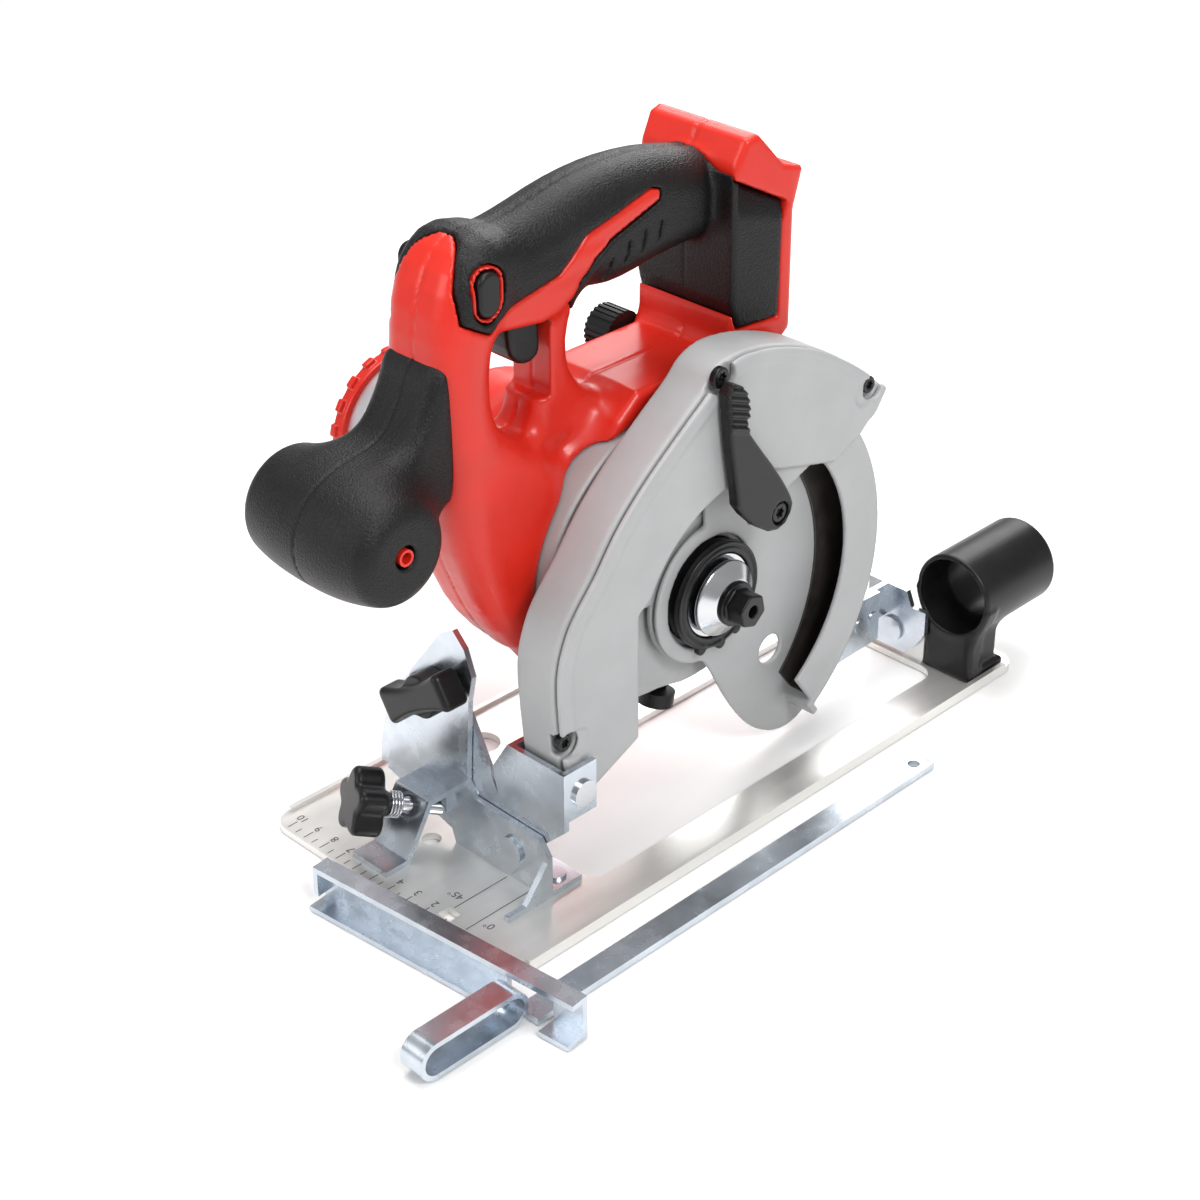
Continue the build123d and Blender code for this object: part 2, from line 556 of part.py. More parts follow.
def brush_holders():
    x, z = MOTOR_X, MOTOR_Z
    box_ = block(12, 22, 124, 132, -4, 4) - block(10.5, 21, 125, 131, -3, 3)
    return one([Pos(x, 0, z) * Rot(0, a, 0) * box_ for a in (20, 200)])


# ---- housing ----
def frame_outline():
    """Side view of the red frame: front column, spine over the motor, strut and battery foot."""
    return make_face([
        Polyline((44, 92), (31, 108), (22, 128), (15, 147), (10, 168), (8, 200), (9, 224), (13, 242)),
        ThreePointArc((13, 242), (19, 256), (32, 262)),
        Polyline((32, 262), (42, 262), (42, 240), (33, 228), (30, 206), (34, 190), (46, 184), (62, 184), (64, 210),
                 (66, 226), (80, 228), (76, 208), (80, 184), (100, 184), (146, 186), (146, 257), (154, 268.5), (160, 269.5),
                 (172, 256), (182, 252), (177, 236), (177, 192), (170, 184), (140, 166), (140, 92), (44, 92)),
    ])


def barrel(shrink=0.0):
    """The round red motor housing, narrowing from the gear case to the open end of the can."""
    x, z = MOTOR_X, MOTOR_Z
    front = cone_y(107 - 4, 112 + 4, BARREL_R0 - shrink, 50 - shrink, BARREL_NEAR + shrink / 4, 60)
    rear = cone_y(x, z, 50 - shrink, BARREL_R1 - shrink, 52, 86)
    rear += rod_y(x, z, BARREL_R1 - shrink, 85, BARREL_FAR - shrink)
    return front + rear


def frame_solid():
    """Outer form of frame and barrel before it is hollowed and split."""
    near, far = SPLIT_Y - HALF_WIDTH, SPLIT_Y + HALF_WIDTH
    body = slab_y(frame_outline(), near, far)
    foot = poly((146, SPLIT_Y - 25), (146, SPLIT_Y + 25), (172, SPLIT_Y + FOOT_HALF), (182, SPLIT_Y + FOOT_HALF),
                (182, SPLIT_Y - FOOT_HALF), (172, SPLIT_Y - FOOT_HALF))
    side = slab_y(poly((140, 186), (146, 257), (154, 268.5), (160, 269.5), (172, 256), (182, 252), (177, 236),
                       (177, 192), (170, 184)), -20, 100)
    body += (Pos(0, 0, 180) * extrude(foot, amount=95, dir=(0, 0, 1))) & side
    for y0, y1 in ((0, SPLIT_Y - STRUT_HALF), (SPLIT_Y + STRUT_HALF, 100)):
        body -= block(58, 84, y0, y1, 185.5, 229)
    return body + barrel()


def frame_cavity():
    near, far = SPLIT_Y - HALF_WIDTH + SHELL, SPLIT_Y + HALF_WIDTH - SHELL
    inner = slab_y(poly((50, 112), (26, 130), (20, 150), (14, 170), (12, 200), (13, 222), (17, 240), (24, 256), (38, 258),
                        (38, 242), (29, 228), (26, 206), (30, 186), (44, 180), (70, 180), (72, 140)), near, far)
    inner += slab_y(poly((70, 150), (70, 180), (140, 181), (152, 192), (152, 245), (172, 245), (172, 192), (138, 160)), near, far)
    inner += barrel(SHELL)
    inner += block(170, 190, SPLIT_Y - 22, SPLIT_Y + 22, 196, 244)
    return inner + rod_y(MOTOR_X, MOTOR_Z, CAN_R, 50, 130) + rod_y(MOTOR_X, MOTOR_Z, 47, 10, 40)


def frame_shell():
    shell = frame_solid() - frame_cavity()
    shell -= rod_y(107, 112, 57.0, 0, BARREL_NEAR + 3) + rod_y(SPIN_X, SPIN_Z, 45.0, 0, BARREL_NEAR)
    shell -= rod_y(*polar((PIVOT_X, PIVOT_Z), ARC_R, CLAMP_ANGLE), 3.6, 0, 80)
    shell -= block(46.2, 63.8, 30, 50, 190, 235)
    shell -= button_bar(BUTTON_R + GAP, 0, 80)
    for x, z in handle_screw_places():
        shell -= rod_y(x, z, 1.8, 0, 80)
    return shell


def handle_screw_places():
    return [(14.0, 232.0), (28.0, 122.0), (73.0, 183.5), (160.0, 188.5), (158.0, 257.0)]


def half(solid, near):
    """The part of a solid on one side of the split plane."""
    keep = block(-200, 400, -100, SPLIT_Y, -50, 400) if near else block(-200, 400, SPLIT_Y, 300, -50, 400)
    return solid & keep


def handle_screws():
    """Housing screws, driven from the far side."""
    return one([rod_y(x, z, 1.8, SPLIT_Y - 12, SPLIT_Y + 14) for x, z in handle_screw_places()])


def grip_solid(grow=0.0):
    """The handle bar from the column to the battery foot: a bowed oval section."""
    path = ThreePointArc((34, SPLIT_Y, 243), (92, SPLIT_Y, 250), (147, SPLIT_Y, 240))
    section = Plane(origin=path @ 0, x_dir=(0, 1, 0), z_dir=path % 0) * Ellipse(16 + grow, 18.5 + grow)
    return sweep(section, path=path)


def grip():
    bar = grip_solid() - grip_solid(-3.2)
    return bar - frame_outline_solid() - button_bar(BUTTON_R + GAP, 0, 80) - block(46, 64.2, 28, 52, 200, 240)


def frame_outline_solid():
    return slab_y(frame_outline(), SPLIT_Y - HALF_WIDTH, SPLIT_Y + HALF_WIDTH)


def front_knob():
    """Front handle: a bar along Y on a swept neck that wraps the column."""
    bar = rod_y(KNOB_X, KNOB_Z, KNOB_R, SPLIT_Y - KNOB_HALF, SPLIT_Y + KNOB_HALF)
    bar = fillet(bar.edges(), 8)
    neck = slab_y(poly((20, 222), (4, 222), (0, 205), (-8, 192), (-28, 180), (-28, 150), (-4, 152), (8, 160), (20, 166)),
                  SPLIT_Y - 17, SPLIT_Y + 17)
    knob = bar + neck - frame_outline_solid()
    knob -= rod_y(KNOB_X, KNOB_Z, 3.2, SPLIT_Y - KNOB_HALF - 1, SPLIT_Y - KNOB_HALF + 12)
    return knob


def knob_socket():
    """Red insert in the end of the front handle."""
    y = SPLIT_Y - KNOB_HALF
    return tube_y(KNOB_X, KNOB_Z, 3.2, 2.2, y, y + 10)


# ---- battery foot and electrics ----
def battery_terminals():
    plate = block(172.5, 176, SPLIT_Y - 21, SPLIT_Y + 21, 198, 242)
    for i in range(5):
        y = SPLIT_Y - 14 + 7 * i
        plate += block(175, 181.5, y - 0.5, y + 0.5, 206, 222)
    return plate


def battery_rails():
    """Two guide rails that the battery pack slides up on."""
    rails = []
    for side in (-1, 1):
        y0, y1 = sorted((SPLIT_Y + side * 22.2, SPLIT_Y + side * 26))
        y2, y3 = sorted((SPLIT_Y + side * 20.0, SPLIT_Y + side * 26))
        rails.append(block(177.2, 181.5, y0, y1, 196, 235) + block(180, 181.5, y2, y3, 196, 235))
    return one(rails)


def button_bar(r, y0, y1):
    """Upright oval bar at the lock-off button's place."""
    x, z = BUTTON_AT
    return rod_y(x, z - 3.5, r, y0, y1) + rod_y(x, z + 3.5, r, y0, y1) + block(x - r, x + r, y0, y1, z - 3.5, z + 3.5)


def trigger_switch():
    return block(67, 88, SPLIT_Y - 8, SPLIT_Y + 8, 241, 255)


def trigger():
    outline = make_face([Polyline((47, 232), (47, 214)), ThreePointArc((47, 214), (55, 205), (63, 208)),
                         Polyline((63, 208), (62, 222), (62, 232), (47, 232))])
    lever = slab_y(outline, SPLIT_Y - 8.5, SPLIT_Y + 8.5)
    return fillet(lever.edges().filter_by(Axis.Y).sort_by(Axis.Z)[0:2], 2)


def lock_off_button():
    """Cross bar through the column; it is pushed from either side."""
    return button_bar(BUTTON_R, SPLIT_Y - 20, SPLIT_Y + 23.5)


def lock_plane():
    """A frame below the gear case whose z points at the spindle and whose y is the saw's own y."""
    reach = hypot(SPIN_X - LOCK_AT[0], SPIN_Z - LOCK_AT[1])
    d = ((SPIN_X - LOCK_AT[0]) / reach, 0, (SPIN_Z - LOCK_AT[1]) / reach)
    return Plane(origin=(LOCK_AT[0], 23.1, LOCK_AT[1]), x_dir=(d[2], 0, -d[0]), z_dir=d)


def spindle_lock():
    """Steel slide with a thumb piece: pushed in, its fork holds two flats of the arbor."""
    slide = Pos(0, 0, 12) * Box(10, 1.2, 38) + Pos(0, 0, -8) * Cylinder(7.5, 6)
    return lock_plane() * slide


def depth_bolt():
    x, z = polar((PIVOT_X, PIVOT_Z), ARC_R, CLAMP_ANGLE)
    return rod_y(x, z, 3, 7.5, 76) + rod_y(x, z, 6, 15 + 0.2, 17)


def depth_lock_knob():
    x, z = polar((PIVOT_X, PIVOT_Z), ARC_R, CLAMP_ANGLE)
    body = rod_y(x, z, 10, 65.5, 78) - rod_y(x, z, 3 + RUN, 65, 76.3)
    for i in range(24):
        body -= Pos(x, 0, z) * Rot(0, 15 * i, 0) * block(9.4, 11, 65, 79, -0.6, 0.6)
    return body


NODES = {
    "shoe_plate": shoe_plate, "base_bracket": base_bracket, "base_rivets": base_rivets, "bevel_pins": bevel_pins,
    "bevel_bolt": bevel_bolt, "bevel_lock_knob": bevel_lock_knob,
    "fence_clamp_bracket": fence_clamp_bracket, "fence_clamp_knob": fence_clamp_knob,
    "fence_clamp_screw": fence_clamp_screw, "fence_clamp_spring": fence_clamp_spring,
    "dust_port": dust_port, "dust_port_screw": dust_port_screw,
    "front_tilt_bracket": front_tilt_bracket, "rear_tilt_bracket": rear_tilt_bracket,
    "depth_arc": depth_arc, "arc_rivets": arc_rivets, "depth_pivot_pin": depth_pivot_pin,
    "guide_bar": guide_bar, "guide_fence": guide_fence, "guide_arm": guide_arm, "guide_rivets": guide_rivets,
    "upper_guard": upper_guard, "guard_cover": guard_cover, "cover_screws": cover_screws,
    "lower_guard": lower_guard, "guard_lever": guard_lever, "lever_screw": lever_screw,
    "hub_collar": hub_collar, "hub_circlip": hub_circlip, "gear_case": gear_case,
    "spindle_bearing": spindle_bearing, "spindle_gear": spindle_gear, "arbor": arbor,
    "inner_flange": inner_flange, "outer_flange": outer_flange, "blade_bolt": blade_bolt,
    "pinion": pinion, "armature": armature, "cooling_fan": cooling_fan, "motor_bearings": motor_bearings,
    "motor_can": motor_can, "motor_magnets": motor_magnets, "brush_holders": brush_holders,
    "motor_end_cap": motor_end_cap,
    "housing_left": lambda: half(frame_shell(), True), "housing_right": lambda: half(frame_shell(), False),
    "grip_left": lambda: half(grip(), True), "grip_right": lambda: half(grip(), False),
    "front_knob_left": lambda: half(front_knob(), True), "front_knob_right": lambda: half(front_knob(), False),
    "knob_socket": knob_socket, "handle_screws": handle_screws,
    "battery_terminals": battery_terminals, "battery_rails": battery_rails,
    "trigger_switch": trigger_switch, "trigger": trigger, "lock_off_button": lock_off_button,
    "spindle_lock": spindle_lock,
    "depth_bolt": depth_bolt, "depth_lock_knob": depth_lock_knob,
}


def main():
    os.makedirs("parts", exist_ok=True)
    for name, make in NODES.items():
        export_step(make(), f"parts/{name}.step")


main()
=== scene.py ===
"""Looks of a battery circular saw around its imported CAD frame.

Shapes are in millimetres, in the row frame: X to the rear, Y to the motor side, Z up.
"""
import math

import bpy
import numpy as np
from mathutils import Matrix, Vector


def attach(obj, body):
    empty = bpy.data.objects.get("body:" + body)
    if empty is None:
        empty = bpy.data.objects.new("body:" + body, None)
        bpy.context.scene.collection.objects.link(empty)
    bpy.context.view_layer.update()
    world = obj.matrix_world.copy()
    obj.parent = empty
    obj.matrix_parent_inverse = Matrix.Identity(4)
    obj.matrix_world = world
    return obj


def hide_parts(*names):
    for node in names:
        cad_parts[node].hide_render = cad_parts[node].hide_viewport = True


MM = 0.001

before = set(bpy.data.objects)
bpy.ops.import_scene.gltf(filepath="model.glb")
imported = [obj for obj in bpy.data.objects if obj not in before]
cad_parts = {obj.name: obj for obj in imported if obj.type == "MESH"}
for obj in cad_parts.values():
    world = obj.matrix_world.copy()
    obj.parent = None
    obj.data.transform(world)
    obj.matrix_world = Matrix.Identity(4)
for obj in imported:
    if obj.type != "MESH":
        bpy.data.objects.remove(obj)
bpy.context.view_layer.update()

# Driving places, the same as the CAD part's.
SPLIT_Y = 40.0                    # plane where the housing halves meet
SPIN = (127.0, 91.0)              # blade spindle, x and z
MOTOR = (95.0, 125.0)             # motor shaft, x and z
CASE = (107.0, 112.0)             # round gear case, x and z
KNOB = (-26.0, SPLIT_Y, 167.0)    # middle of the front handle
GUARD_FAR = 11.0                  # far face of the upper guard


# ---- signed distance shapes on a grid ----
class Field:
    """A box of sample points. Every shape below is a signed distance over it, negative inside."""

    def __init__(self, low, high, step):
        self.low = np.array(low, float)
        self.step = step
        counts = [int(math.ceil((b - a) / step)) + 1 for a, b in zip(low, high)]
        x, y, z = [a + step * np.arange(n, dtype=np.float32) for a, n in zip(low, counts)]
        self.x, self.y, self.z = x[:, None, None], y[None, :, None], z[None, None, :]
        self.shape = tuple(counts)


def round_max(a, b):
    return np.minimum(np.maximum(a, b), 0) + np.hypot(np.maximum(a, 0), np.maximum(b, 0))


def meet(a, b, r=0.0):
    """What is in both a and b, with the edge between them rounded to r."""
    return round_max(a + r, b + r) - r


def cut(a, b, r=0.0):
    return meet(a, -b, r)


def join(a, b, k=0.0):
    """What is in a or b, with a fillet of about k in the corner."""
    if k == 0:
        return np.minimum(a, b)
    h = np.clip(0.5 + 0.5 * (b - a) / k, 0, 1)
    return b + (a - b) * h - k * h * (1 - h)


def flat_shape(u, v, points):
    """Signed distance to a closed outline in the (u, v) plane."""
    nearest, inside = 1e9, False
    for (ax, ay), (bx, by) in zip(points, points[1:] + points[:1]):
        ex, ey, wx, wy = bx - ax, by - ay, u - ax, v - ay
        t = np.clip((wx * ex + wy * ey) / (ex * ex + ey * ey), 0, 1)
        nearest = np.minimum(nearest, (wx - ex * t) ** 2 + (wy - ey * t) ** 2)
        if ay != by:
            crosses = ((ay > v) != (by > v)) & (u < ex * (v - ay) / ey + ax)
            inside = np.logical_xor(inside, crosses)
    return np.where(inside, -1, 1) * np.sqrt(nearest)


def between(w, a, b):
    return np.maximum(a - w, w - b)


def prism_y(f, points, y0, y1, r=0.5):
    return meet(flat_shape(f.x, f.z, points), between(f.y, y0, y1), r)


def prism_x(f, points, x0, x1, r=0.5):
    return meet(flat_shape(f.y, f.z, points), between(f.x, x0, x1), r)


def block(f, x0, x1, y0, y1, z0, z1, r=0.5):
    side = meet(between(f.x, x0, x1), between(f.y, y0, y1), r)
    return meet(side, between(f.z, z0, z1), r)


def rod_y(f, centre, radius, y0, y1, r=0.5):
    return meet(np.hypot(f.x - centre[0], f.z - centre[1]) - radius, between(f.y, y0, y1), r)


def rod_x(f, centre, radius, x0, x1, r=0.5):
    return meet(np.hypot(f.y - centre[0], f.z - centre[1]) - radius, between(f.x, x0, x1), r)


def arc(centre, radius, a0, a1, n):
    """n points on a circle from angle a0 to a1, in degrees."""
    turn = [math.radians(a0 + (a1 - a0) * i / (n - 1)) for i in range(n)]
    return [(centre[0] + radius * math.cos(a), centre[1] + radius * math.sin(a)) for a in turn]


def soften(points, rounds):
    """Cuts the corners of a closed outline, so that it reads as a curve."""
    for _ in range(rounds):
        cut_points = []
        for (ax, ay), (bx, by) in zip(points, points[1:] + points[:1]):
            cut_points.append((0.75 * ax + 0.25 * bx, 0.75 * ay + 0.25 * by))
            cut_points.append((0.25 * ax + 0.75 * bx, 0.25 * ay + 0.75 * by))
        points = cut_points
    return points


def curve(points, n):
    """Smooth open line through every point (Catmull-Rom)."""
    held = np.array([points[0]] + list(points) + [points[-1]], float)
    line = []
    for a, b, c, d in zip(held, held[1:], held[2:], held[3:]):
        for t in np.arange(n) / n:
            square, cube = (2 * a - 5 * b + 4 * c - d) * t ** 2, (3 * b - a - 3 * c + d) * t ** 3
            at = 0.5 * (2 * b + (c - a) * t + square + cube)
            line.append((float(at[0]), float(at[1])))
    return line + [tuple(points[-1])]


CORNERS = np.array([(i, j, k) for i in (0, 1) for j in (0, 1) for k in (0, 1)])
EDGES = [(a, b) for a in range(8) for b in range(a + 1, 8) if np.abs(CORNERS[a] - CORNERS[b]).sum() == 1]


def surface(f, shape):
    """Points and quads of the zero surface of a shape (naive surface nets)."""
    values = np.ascontiguousarray(np.broadcast_to(shape, f.shape), dtype=np.float32)
    inside = values < 0
    full = np.ones(tuple(n - 1 for n in f.shape), bool)
    some = np.zeros_like(full)
    nx, ny, nz = full.shape
    for i, j, k in CORNERS:
        part = inside[i:i + nx, j:j + ny, k:k + nz]
        full &= part
        some |= part
    cells = np.argwhere(some & ~full)
    index = -np.ones(full.shape, np.int32)
    index[tuple(cells.T)] = np.arange(len(cells))
    at = [values[tuple((cells + c).T)] for c in CORNERS]
    total, count = np.zeros((len(cells), 3)), np.zeros(len(cells))
    for a, b in EDGES:
        crossed = (at[a] < 0) != (at[b] < 0)
        t = np.where(crossed, at[a] / np.where(crossed, at[a] - at[b], 1), 0)[:, None]
        total += np.where(crossed[:, None], CORNERS[a] + (CORNERS[b] - CORNERS[a]) * t, 0)
        count += crossed
    points = f.low + (cells + total / count[:, None]) * f.step
    quads = []
    shift = np.eye(3, dtype=int)
    for axis in range(3):
        p, q = [(1, 2), (2, 0), (0, 1)][axis]
        lead, trail = [slice(None)] * 3, [slice(None)] * 3
        lead[axis], trail[axis] = slice(0, -1), slice(1, None)
        change = inside[tuple(lead)] != inside[tuple(trail)]
        start = np.argwhere(change)
        ok = (start[:, p] > 0) & (start[:, p] < full.shape[p])
        ok &= (start[:, q] > 0) & (start[:, q] < full.shape[q])
        start = start[ok]
        ring = [start - shift[p] - shift[q], start - shift[q], start, start - shift[p]]
        face = np.stack([index[tuple(r.T)] for r in ring], axis=1)
        flip = ~inside[tuple(start.T)]
        face[flip] = face[flip][:, ::-1]
        quads.append(face[(face >= 0).all(axis=1)])
    return points, np.concatenate(quads)


def new_object(name, points, faces):
    mesh = bpy.data.meshes.new(name)
    mesh.vertices.add(len(points))
    mesh.vertices.foreach_set("co", (np.asarray(points) * MM).astype(np.float32).ravel())
    sizes = np.full(len(faces), faces.shape[1])
    mesh.loops.add(int(sizes.sum()))
    mesh.loops.foreach_set("vertex_index", faces.ravel().astype(np.int32))
    mesh.polygons.add(len(faces))
    starts = np.concatenate([[0], np.cumsum(sizes)[:-1]])
    mesh.polygons.foreach_set("loop_start", starts.astype(np.int32))
    mesh.update(calc_edges=True)
    mesh.validate()
    mesh.polygons.foreach_set("use_smooth", np.ones(len(mesh.polygons), bool))
    obj = bpy.data.objects.new(name, mesh)
    bpy.context.scene.collection.objects.link(obj)
    return obj


def shown(obj, material, body, nodes):
    """Gives a piece its material and body, and hides the CAD nodes that it stands for."""
    obj.data.materials.clear()
    obj.data.materials.append(material)
    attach(obj, body)
    if nodes:
        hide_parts(*nodes)


def sculpt(name, f, shape, material, body, nodes):
    shown(new_object(name, *surface(f, shape)), material, body, nodes)


# ---- materials ----
def build_material(name, colour, rough, metallic=0.0, speck=0.06, grain=(900.0, 0.00004), mottle=60.0,
                   rough_spread=0.08, coat=0.0, stretch=(1.0, 1.0, 1.0), specular=0.5):
    """Procedural surface: slow colour mottle, fine grain in the bump, and roughness that wanders.

    grain is the fine noise's scale and its height in metres; speck is how far the colour strays.
    """
    mat = bpy.data.materials.new(name)
    mat.use_nodes = True
    nodes, links = mat.node_tree.nodes, mat.node_tree.links
    shader = nodes["Principled BSDF"]
    shader.inputs["Metallic"].default_value = metallic
    shader.inputs["Coat Weight"].default_value = coat
    shader.inputs["Coat Roughness"].default_value = 0.15
    shader.inputs["Specular IOR Level"].default_value = specular
    where = nodes.new("ShaderNodeTexCoord")
    place = nodes.new("ShaderNodeMapping")
    place.inputs["Scale"].default_value = stretch
    links.new(where.outputs["Object"], place.inputs["Vector"])

    def noise(scale, detail):
        node = nodes.new("ShaderNodeTexNoise")
        node.inputs["Scale"].default_value = scale
        node.inputs["Detail"].default_value = detail
        links.new(place.outputs["Vector"], node.inputs["Vector"])
        return node

    slow, fine = noise(mottle, 4), noise(grain[0], 2)
    ramp = nodes.new("ShaderNodeValToRGB")
    low = [max(0.0, c * (1 - speck)) for c in colour]
    high = [min(1.0, c * (1 + speck)) for c in colour]
    ramp.color_ramp.elements[0].color = (*low, 1)
    ramp.color_ramp.elements[0].position = 0.3
    ramp.color_ramp.elements[1].color = (*high, 1)
    ramp.color_ramp.elements[1].position = 0.7
    links.new(slow.outputs["Fac"], ramp.inputs["Fac"])
    links.new(ramp.outputs["Color"], shader.inputs["Base Color"])
    spread = nodes.new("ShaderNodeMapRange")
    spread.inputs["To Min"].default_value = max(0.02, rough - rough_spread)
    spread.inputs["To Max"].default_value = rough + rough_spread
    links.new(slow.outputs["Fac"], spread.inputs["Value"])
    links.new(spread.outputs["Result"], shader.inputs["Roughness"])
    bump = nodes.new("ShaderNodeBump")
    bump.inputs["Strength"].default_value = 1.0
    bump.inputs["Distance"].default_value = grain[1]
    links.new(fine.outputs["Fac"], bump.inputs["Height"])
    links.new(bump.outputs["Normal"], shader.inputs["Normal"])
    return mat


RED = build_material("red_plastic", (0.64, 0.020, 0.009), 0.34, speck=0.05, grain=(2200.0, 0.00002),
                     coat=0.1, specular=0.4)
SOFT = build_material("black_grip", (0.0045, 0.0042, 0.0045), 0.42, speck=0.3, grain=(1300.0, 0.0004),
                      mottle=90, rough_spread=0.05, specular=0.32)
BLACK = build_material("black_plastic", (0.005, 0.0048, 0.005), 0.36, speck=0.3, grain=(1800.0, 0.00003),
                       mottle=90, specular=0.35)
CAST = build_material("cast_guard", (0.41, 0.415, 0.42), 0.48, metallic=0.12, speck=0.04,
                      grain=(2600.0, 0.00007), rough_spread=0.04, specular=0.4)
ZINC = build_material("zinc_plate", (0.60, 0.65, 0.71), 0.26, metallic=0.97, speck=0.10,
                      grain=(500.0, 0.00001), mottle=110, rough_spread=0.1)
STEEL = build_material("bright_steel", (0.62, 0.63, 0.65), 0.2, metallic=1.0, speck=0.05,
                       grain=(900.0, 0.00001))
CAN = build_material("motor_can_metal", (0.70, 0.71, 0.74), 0.34, metallic=0.75, speck=0.04,
                     grain=(900.0, 0.00001))
ALLOY = build_material("shoe_alloy", (0.80, 0.79, 0.76), 0.33, metallic=0.75, speck=0.03,
                       grain=(1500.0, 0.00001), mottle=25, stretch=(1.0, 6.0, 1.0))
DARK_STEEL = build_material("black_oxide", (0.008, 0.008, 0.009), 0.3, metallic=0.3, speck=0.2,
                            grain=(1200.0, 0.00002))
# Dark colour inside the lower guard's rim: the inner wall's own darker tone, deepened into painted shade,
# which also covers a crescent of the disc next to the rim.
DARK_WALL_AND_SHADE = build_material("dark_wall_and_painted_shade", (0.022, 0.018, 0.016), 0.5, speck=0.4, mottle=140)
CONTACT = build_material("contact", (0.75, 0.6, 0.32), 0.3, metallic=1.0, speck=0.08)
MARK = build_material("scale_ink", (0.05, 0.05, 0.055), 0.6, speck=0.2)

# Materials of the CAD nodes, apart from the housing halves, which housing_shell stands for.
BY_NODE = {
    RED: "knob_socket motor_end_cap",
    SOFT: "grip_left grip_right front_knob_left front_knob_right",
    BLACK: "dust_port bevel_lock_knob fence_clamp_knob depth_lock_knob guard_lever trigger trigger_switch"
           " lock_off_button battery_rails cooling_fan motor_magnets spindle_lock",
    CAST: "upper_guard guard_cover gear_case lower_guard",
    ALLOY: "shoe_plate",
    ZINC: "base_bracket front_tilt_bracket rear_tilt_bracket depth_arc fence_clamp_bracket guide_arm"
          " guide_fence guide_bar base_rivets bevel_pins bevel_bolt dust_port_screw arc_rivets"
          " guide_rivets depth_bolt",
    STEEL: "fence_clamp_screw fence_clamp_spring depth_pivot_pin spindle_bearing motor_bearings arbor"
           " inner_flange outer_flange spindle_gear pinion motor_can armature brush_holders",
    DARK_STEEL: "hub_circlip hub_collar cover_screws lever_screw handle_screws blade_bolt",
    CONTACT: "battery_terminals",
}
for material, names in BY_NODE.items():
    for name in names.split():
        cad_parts[name].data.materials.clear()
        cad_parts[name].data.materials.append(material)

# ---- outlines, as (x, z) points ----
COLUMN = [(44, 92), (31, 108), (22, 128), (15, 147), (11, 170), (9, 200), (9, 224), (12, 242), (18, 255),
          (29, 262), (42, 258), (42, 240), (33, 228), (30, 206), (33, 190), (42, 180), (60, 168), (66, 150),
          (66, 96)]
STRUT = [(54, 170), (60, 188), (62, 206), (60, 220), (64, 232), (84, 234), (76, 220), (73, 206), (77, 192),
         (92, 174)]
SKIRT = [(26, 221), (33, 226), (44, 224.5), (62, 222), (76, 230), (88, 240), (88, 246), (40, 246), (26, 240)]
SPINE = [(70, 120), (76, 160), (86, 176), (97, 185), (168, 185), (173, 178), (160, 150), (140, 120)]
GRIP = [(22, 232), (22, 255), (32, 260.5), (47, 261), (59, 263), (77, 267), (94, 269), (110, 269), (128, 267),
        (152, 261), (152, 228), (123, 227), (104, 224), (92, 224), (78, 228), (60, 229), (40, 230)]
FOOT_PLAN = [(146, 15.5), (146, 64.5), (166, 67), (176, 68), (183, 68), (183, 12), (176, 12),
             (166, 13)]                                       # x and y
FOOT_SIDE = [(146, 180), (146, 256), (153, 269), (159, 270), (172, 255.5), (183, 252), (178, 236),
             (178, 187), (170, 180)]
BLACK_AREA = [(15.5, 236), (28, 229), (33, 231.5), (41, 235), (64, 240), (78, 251), (112, 259), (117, 257.5),
              (116, 253.5), (91, 245.5), (82, 241), (75, 233), (73, 226), (80, 215), (146, 205), (150, 193.5),
              (171, 193.5), (171.5, 232), (174, 240), (150, 253), (147.5, 254), (147.5, 300), (25, 300),
              (19, 259), (15.5, 248)]
TRIGGER = [(47, 233), (46.5, 220), (47.5, 211), (51, 206.5), (56, 204.5), (61, 206), (63, 210), (62, 222),
           (62, 233)]
NECK = [(15, 221), (6, 222), (1, 208), (-8, 196), (-24, 186), (-34, 170), (-28, 152), (-6, 158), (6, 166),
        (15, 168)]
THROAT = arc(SPIN, 56, 154, 68, 20)
OUTER_EDGE = curve([(30, 56), (28.8, 64), (27.2, 80), (26.4, 94), (26.8, 104), (28.8, 112), (32.5, 120.5),
                    (38, 128), (46, 137), (58.5, 153), (73.5, 167), (92, 181), (104, 189.5), (112, 196.6),
                    (122, 199.8), (136, 198.8), (152, 194.5), (170, 187), (190, 174.5), (205, 163)], 6)
GUARD = ([(70, 56), (39, 42), (33, 43)] + OUTER_EDGE
         + [(212, 157), (206, 148.5), (197, 141), (181, 134)] + THROAT[::-1] + [(70, 111)])
GUARD_INNER = [(212, 157), (190, 60), (120, 20), (40, 20)]   # closes the outer edge on its inner side
LOBE = soften([(123, 62), (131, 48), (138, 35), (149, 19), (159, 9.5), (172, 3), (186, 4), (196, 14),
               (190, 60), (150, 90)], 2)
LEVER_ARM = arc(SPIN, 70, 44, 76, 10) + [(137, 139), (134, 123), (144.5, 119.5), (157, 132)]
LEVER = [(108, 197), (119, 191), (121.5, 180), (119, 175), (128, 162.5), (138, 149.5), (146, 137),
         (148.5, 130), (142, 122.5), (131, 125), (116, 140), (115.5, 146), (110.5, 173)]
SADDLE = [(-29.5, 3), (-29, 18), (-36.2, 40), (2.2, 40), (-5, 18), (-4.5, 3)]     # y and z

